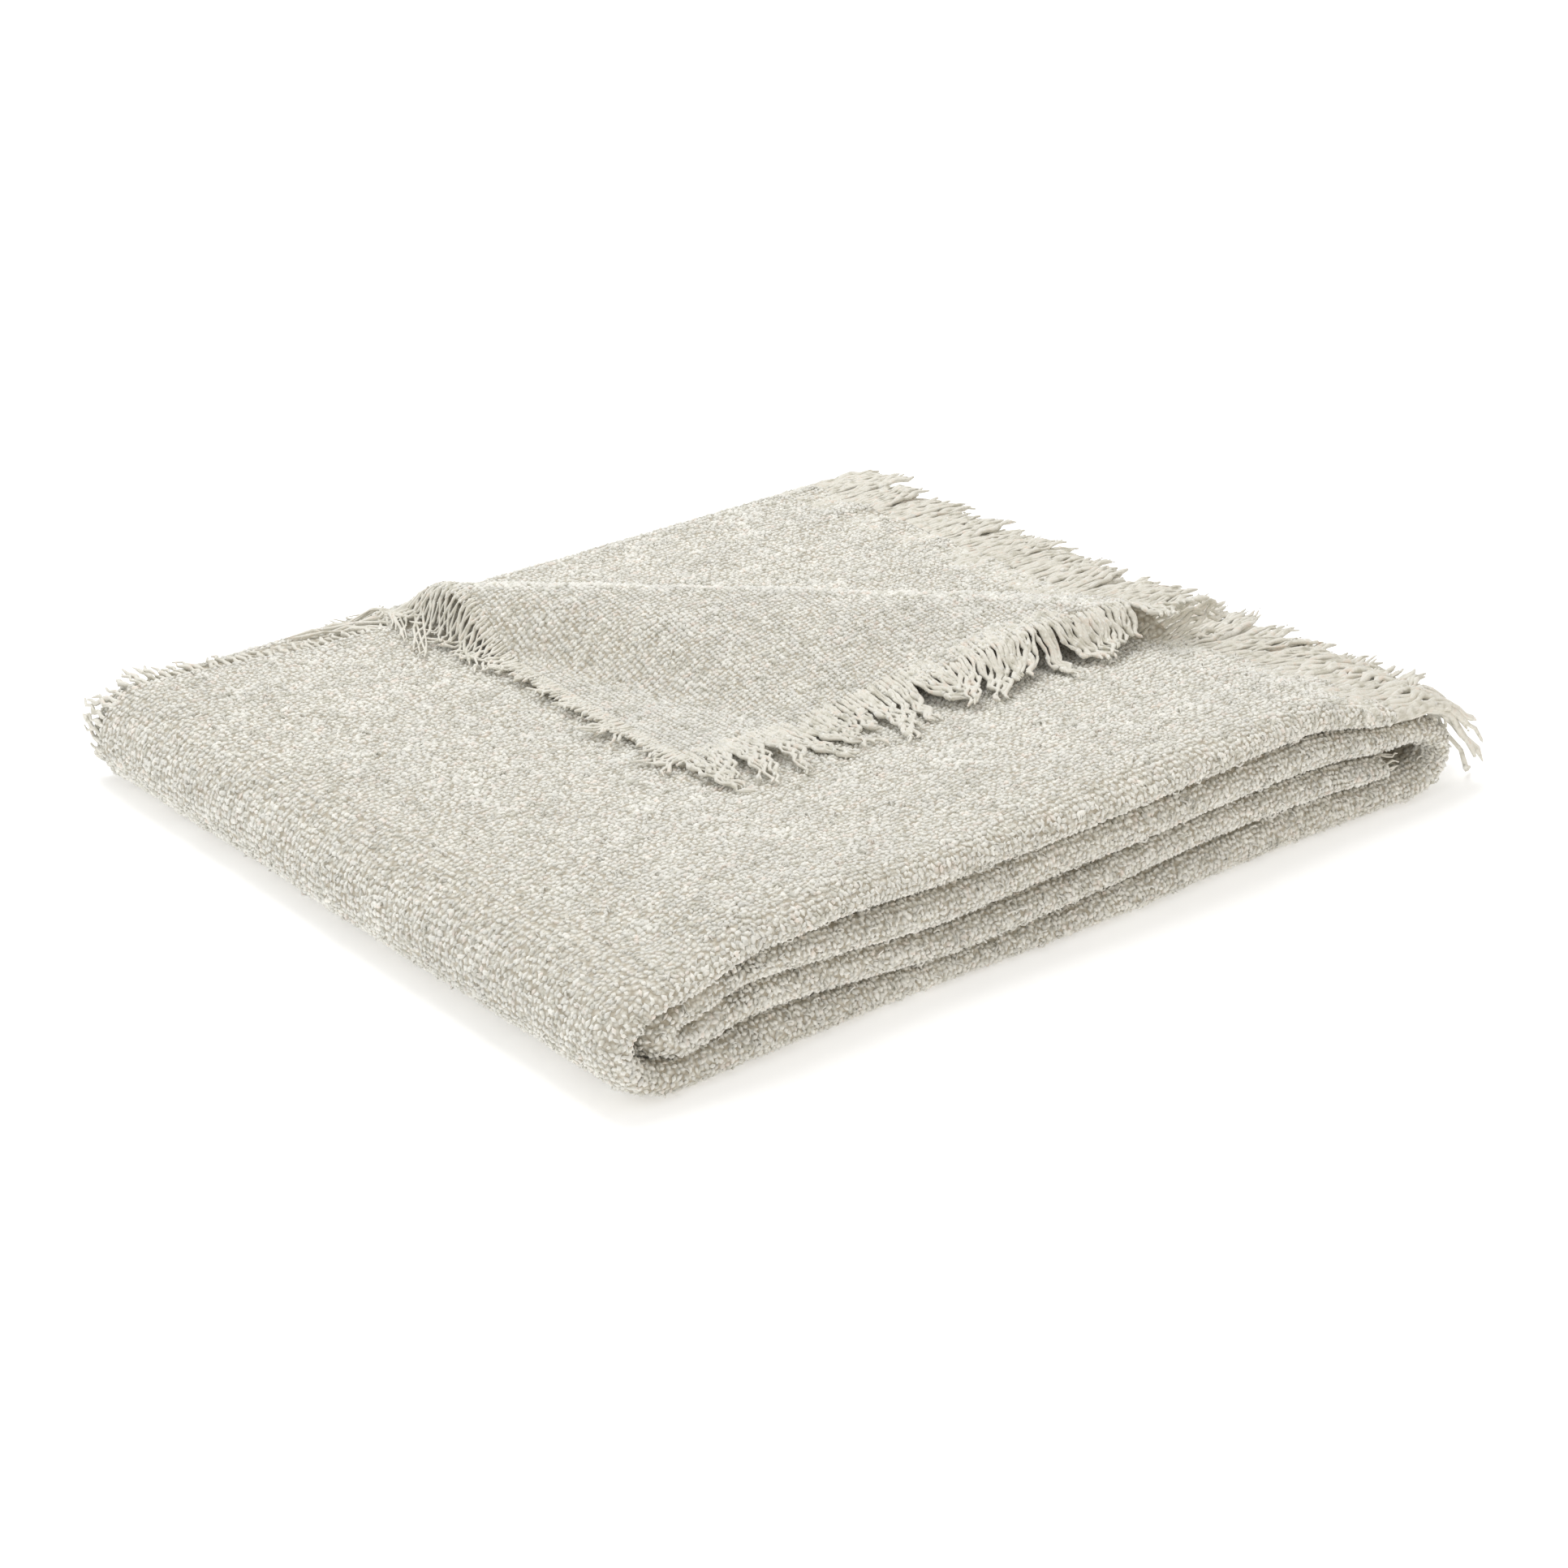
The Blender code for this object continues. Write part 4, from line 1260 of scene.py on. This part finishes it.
def strand_lines(fringe, number):
    """Points of all the strands of a fringe and their thickness, one row of points a strand."""
    style = fringe.style
    count = round((fringe.stop - fringe.start) / fringe.pitch)
    chance = draw_chances(fringe, number, count)
    strands = lay_strands(fringe, chance)
    along, near = strands.along, strands.near
    reach = strand_reach(fringe, chance, strands)
    share = np.linspace(0.0, 1.0, fringe.points)
    out = -fringe.root + share[None, :] * (fringe.root + fringe.length * reach[:, None])
    free = np.clip(out / fringe.length, 0.0, FREE_MOST)
    middle = strands.lock_end - 0.5 * style.lock
    aside = style.gather * ((middle - along) * (1.0 - near))[:, None] * ease(free)
    lean = strand_lean(fringe, chance, strands)
    aside = aside + lean[:, None] * np.maximum(out, 0.0) * (LEAN_AT_ROOT + free)
    aside = aside + corner_fan(fringe, along, out)
    wind = math.tau * out / style.curl_length
    curl = style.curl * (1.0 + near)[:, None] * np.sin(wind + chance.phase) * np.minimum(2.0 * free, 1.0)
    s, t = fringe_place(fringe.edge, along[:, None] + aside + curl, out)
    place = folded_place(s.ravel(), t.ravel()).reshape(count, fringe.points, 3)
    raise_and_drop(fringe, chance, strands, place, free, wind)
    return place, strand_bulk(fringe, chance, strands, share, free), along


def make_strands(settings, fringe, number, tree, material):
    """One fringe of fine yarns."""
    place, bulk, _ = strand_lines(fringe, number)
    count, points = bulk.shape
    edges = [
        (strand * points + point, strand * points + point + 1)
        for strand in range(count) for point in range(points - 1)
    ]
    mesh = make_mesh(fringe.name + "_lines", place.reshape(-1, 3), edges, [])
    store(mesh, "thickness", "FLOAT", bulk)
    return grow(fringe.name, mesh, tree, {
        "Thickness": settings.strand_thickness,
        "Material": material,
    })


def strand_shows(along):
    """Which strands of the outer end lie on top of the stack and not inside it."""
    return (along <= FRONT_STOP) | ((along >= UNDER_START) & (along <= UNDER_STOP))


def bead_name(fringe):
    return fringe.name.replace("strands", "beads")


def make_beads(settings, fringe, number, tree, material):
    """Bulges of loop yarn along the strands that show, which makes them look spun."""
    place, bulk, along = strand_lines(fringe, number)
    if fringe.edge == "outer end":
        shown = strand_shows(along)
        place, bulk = place[shown], bulk[shown]
    tangle = fringe.style.tangle
    draws = np.random.default_rng(BEAD_SEED + number)
    step = np.gradient(place, axis=1)
    place = place + step * draws.uniform(-0.5, 0.5, (len(place), 1, 1))
    way = unit(step) + draws.normal(0.0, 0.5 * tangle, place.shape)
    outward = np.array([0.0, 0.0, 1.0]) + draws.normal(0.0, tangle, place.shape)
    shade = 1.0 + draws.normal(0.0, SHADE_SPREAD, bulk.size)
    place, way, outward = (grid.reshape(-1, 3) for grid in (place, unit(way), unit(outward)))
    points = (place, way, outward, bulk.ravel(), shade)
    return grow_loops(bead_name(fringe), points, settings, BEAD_LOOP_SEED + number, tree, material)


# The stage

CAMERA_TARGET = (0.1956, 0.1589, 0.0)
CAMERA_AZIMUTH = -129.89
CAMERA_ELEVATION = 24.54
CAMERA_DISTANCE = 1.475
LENS = 93.2
SENSOR = 36.0
FLOOR_TONES = ((0.90, 0.90, 0.90), (0.94, 0.94, 0.94))
FLOOR_TONE_SCALE = 3.0
FLOOR_ROUGHNESS = 0.9
WHITE = (1.0, 1.0, 1.0, 1.0)


def make_camera():
    data = bpy.data.cameras.new("Camera")
    data.lens = LENS
    data.sensor_width = SENSOR
    camera = show("Camera", data)
    azimuth, elevation = math.radians(CAMERA_AZIMUTH), math.radians(CAMERA_ELEVATION)
    back = Vector((
        math.cos(azimuth) * math.cos(elevation),
        math.sin(azimuth) * math.cos(elevation),
        math.sin(elevation),
    ))
    target = Vector(CAMERA_TARGET) - Vector((*FOOTPRINT_MIDDLE, 0.0))
    camera.location = target + back * CAMERA_DISTANCE
    camera.rotation_euler = (-back).to_track_quat("-Z", "Y").to_euler()
    bpy.context.scene.camera = camera


def make_floor(settings):
    half = settings.floor_size * 0.5
    corners = np.array([(-half, -half, 0.0), (half, -half, 0.0), (half, half, 0.0), (-half, half, 0.0)])
    mesh = make_mesh("floor", corners, [], [(0, 1, 2, 3)])
    material, tree, shader = new_material("pale floor", FLOOR_ROUGHNESS, 0.0)
    coordinates = tree.nodes.new("ShaderNodeTexCoord").outputs["Object"]
    tone = add_ramp(
        tree, add_noise(tree, coordinates, FLOOR_TONE_SCALE, 2.0),
        [(0.0, FLOOR_TONES[0]), (1.0, FLOOR_TONES[1])],
    )
    tree.links.new(tone, shader.inputs["Base Color"])
    shader.inputs["Emission Color"].default_value = WHITE
    shader.inputs["Emission Strength"].default_value = settings.floor_glow
    mesh.materials.append(material)
    floor = show("floor", mesh)


Lamp = namedtuple("Lamp", "name place size power colour")
LAMPS = (
    Lamp("Key light", (0.10, 0.50, 1.50), 0.9, 13.0, (1.0, 1.0, 1.0)),
    Lamp("Left light", (-1.5, 0.10, 0.8), 1.2, 3.2, (1.0, 0.97, 0.93)),
    Lamp("Warm light", (0.15, -1.40, 0.5), 1.0, 1.3, (1.0, 0.64, 0.16)),
)


def make_lights(settings):
    for lamp in LAMPS:
        data = bpy.data.lights.new(lamp.name, "AREA")
        data.size = lamp.size
        data.color = lamp.colour
        data.energy = lamp.power * settings.light_share
        item = show(lamp.name, data)
        item.location = lamp.place
        item.rotation_euler = (-Vector(lamp.place)).to_track_quat("-Z", "Y").to_euler()
    world = bpy.data.worlds.new("Studio")
    world.use_nodes = True
    sky = world.node_tree.nodes["Background"]
    sky.inputs["Color"].default_value = WHITE
    sky.inputs["Strength"].default_value = settings.sky_strength
    bpy.context.scene.world = world
    bpy.context.scene.view_settings.view_transform = "Standard"


# What a user would change


class ThrowSettings(bpy.types.PropertyGroup):
    """Sizes and colours of the yarn"""

    yarn_pitch: bpy.props.FloatProperty(
        name="Yarn Pitch", description="Distance from one yarn of the weave to the next",
        default=0.0020, min=0.001, max=0.01, unit="LENGTH",
    )
    loop_length: bpy.props.FloatProperty(
        name="Loop Length", description="Length of one bulge of yarn between two crossings",
        default=0.0033, min=0.001, max=0.02, unit="LENGTH",
    )
    loop_width: bpy.props.FloatProperty(
        name="Loop Width", description="Width of one bulge of yarn",
        default=0.0018, min=0.0005, max=0.01, unit="LENGTH",
    )
    loop_height: bpy.props.FloatProperty(
        name="Loop Height", description="Thickness of one bulge of yarn, half of it above the cloth",
        default=0.0018, min=0.0005, max=0.01, unit="LENGTH",
    )
    unevenness: bpy.props.FloatProperty(
        name="Unevenness", description="How much the bulges differ in size",
        default=0.30, min=0.0, max=0.9, subtype="FACTOR",
    )
    loop_turn: bpy.props.FloatProperty(
        name="Loop Turn", description="How far the bulges lean away from their yarn's way",
        default=0.34, min=0.0, max=2.0, subtype="FACTOR",
    )
    loop_drift: bpy.props.FloatProperty(
        name="Loop Drift", description="How far the bulges wander, as a share of the pitch",
        default=0.30, min=0.0, max=1.0, subtype="FACTOR",
    )
    curl_size: bpy.props.FloatProperty(
        name="Curl Size", description="Width of a curl of thin yarn that stands out of the cloth",
        default=0.0026, min=0.001, max=0.02, unit="LENGTH",
    )
    curl_thickness: bpy.props.FloatProperty(
        name="Curl Thickness", description="Half the thickness of a curl's yarn, by the curl's width",
        default=0.13, min=0.02, max=0.4, subtype="FACTOR",
    )
    strand_thickness: bpy.props.FloatProperty(
        name="Strand Thickness", description="Thickness of a yarn of the fringe",
        default=0.0021, min=0.0003, max=0.01, unit="LENGTH",
    )
    pale_colour: bpy.props.FloatVectorProperty(
        name="Pale Yarn", description="Main colour of the yarn",
        default=(0.868, 0.858, 0.800), min=0.0, max=1.0, size=3, subtype="COLOR",
    )
    warm_colour: bpy.props.FloatVectorProperty(
        name="Warm Flecks", description="Colour of the cream and pink flecks",
        default=(0.86, 0.785, 0.705), min=0.0, max=1.0, size=3, subtype="COLOR",
    )
    grey_colour: bpy.props.FloatVectorProperty(
        name="Grey Flecks", description="Colour of the grey green flecks",
        default=(0.67, 0.655, 0.575), min=0.0, max=1.0, size=3, subtype="COLOR",
    )
    # Painted shade: the warm dark colour of the pits stands in for the shade between the yarns.
    painted_pit_shade: bpy.props.FloatVectorProperty(
        name="Pits", description="Colour of the ground between the yarns",
        default=(0.50, 0.455, 0.37), min=0.0, max=1.0, size=3, subtype="COLOR",
    )


class ThrowStageSettings(bpy.types.PropertyGroup):
    """Floor and light"""

    floor_size: bpy.props.FloatProperty(
        name="Floor Size", description="Length of each side of the floor",
        default=6.0, min=1.0, max=50.0, unit="LENGTH",
    )
    floor_glow: bpy.props.FloatProperty(
        name="Floor Glow", description="Light that the floor gives by itself, to keep its shade faint",
        default=0.30, min=0.0, max=2.0,
    )
    light_share: bpy.props.FloatProperty(
        name="Lamps", description="Strength of all the lamps, as a share of their power",
        default=1.0, min=0.0, max=10.0, subtype="FACTOR",
    )
    sky_strength: bpy.props.FloatProperty(
        name="Surroundings", description="Strength of the even white light from all around",
        default=0.67, min=0.0, max=10.0,
    )


def place_in_part(item):
    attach(item, "root")


class ThrowStageOperator(bpy.types.Operator):
    """Sets up the floor, the light and the camera"""

    bl_idname = "throw.stage"
    bl_label = "Stage"

    def execute(self, context):
        settings = context.scene.throw_stage
        make_camera()
        make_floor(settings)
        make_lights(settings)
        return {"FINISHED"}


class ThrowFringesOperator(bpy.types.Operator):
    """Makes the frayed yarn along the edges of the throw"""

    bl_idname = "throw.fringes"
    bl_label = "Frayed Fringes"

    def execute(self, context):
        settings = context.scene.throw
        tree = strand_tree()
        material = yarn_material("frayed yarn", settings, FRAYED_TONES_WITH_PAINTED_SHADE, False)
        for number, fringe in enumerate(FRINGES):
            item = make_strands(settings, fringe, number, tree, material)
            place_in_part(item)
            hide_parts(fringe.node)
        return {"FINISHED"}


class ThrowLoopsOperator(bpy.types.Operator):
    """Makes the bulges of loop yarn on the faces of the cloth that show"""

    bl_idname = "throw.loops"
    bl_label = "Loop Yarn"

    def execute(self, context):
        settings = context.scene.throw
        tree = loop_tree()
        material = yarn_material("loop yarn", settings, LOOP_TONES, True)
        for number, patch in enumerate(PATCHES):
            item = make_loops(settings, patch, number, tree, material)
            place_in_part(item)
        curls = make_curls(settings, curl_tree(), material)
        place_in_part(curls)
        for number, fringe in enumerate(FRINGES):
            if fringe.style.tangle:
                item = make_beads(settings, fringe, number, tree, material)
                place_in_part(item)
        return {"FINISHED"}


class ThrowSheetOperator(bpy.types.Operator):
    """Makes the folded woven sheet, and gathers the names of what lies on it in a list"""

    bl_idname = "throw.sheet"
    bl_label = "Folded Sheet"

    def execute(self, context):
        sheet = make_sheet(context.scene.throw)
        place_in_part(sheet)
        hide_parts("cloth")
        names = [fringe.name for fringe in FRINGES] + [patch.name for patch in PATCHES]
        names += [bead_name(fringe) for fringe in FRINGES if fringe.style.tangle] + ["curls"]
        return {"FINISHED"}


class ThrowPanel(bpy.types.Panel):
    """Lists the pieces of the throw and their settings"""

    bl_idname = "VIEW3D_PT_throw"
    bl_label = "Folded Throw"
    bl_space_type = "VIEW_3D"
    bl_region_type = "UI"
    bl_category = "Throw"

    def draw(self, context):
        for group in (context.scene.throw, context.scene.throw_stage):
            column = self.layout.column()
            for name in group.__annotations__:
                column.prop(group, name)
        for operator in OPERATORS:
            self.layout.operator(operator.bl_idname)


OPERATORS = (ThrowStageOperator, ThrowFringesOperator, ThrowLoopsOperator, ThrowSheetOperator)
CLASSES = (ThrowSettings, ThrowStageSettings, *OPERATORS, ThrowPanel)


def register():
    for item in CLASSES:
        bpy.utils.register_class(item)
    bpy.types.Scene.throw = bpy.props.PointerProperty(type=ThrowSettings)
    bpy.types.Scene.throw_stage = bpy.props.PointerProperty(type=ThrowStageSettings)


def unregister():
    del bpy.types.Scene.throw_stage
    del bpy.types.Scene.throw
    for item in reversed(CLASSES):
        bpy.utils.unregister_class(item)


def main():
    register()
    bpy.ops.throw.stage()
    bpy.ops.throw.fringes()
    bpy.ops.throw.loops()
    bpy.ops.throw.sheet()


if __name__ == "__main__":
    main()
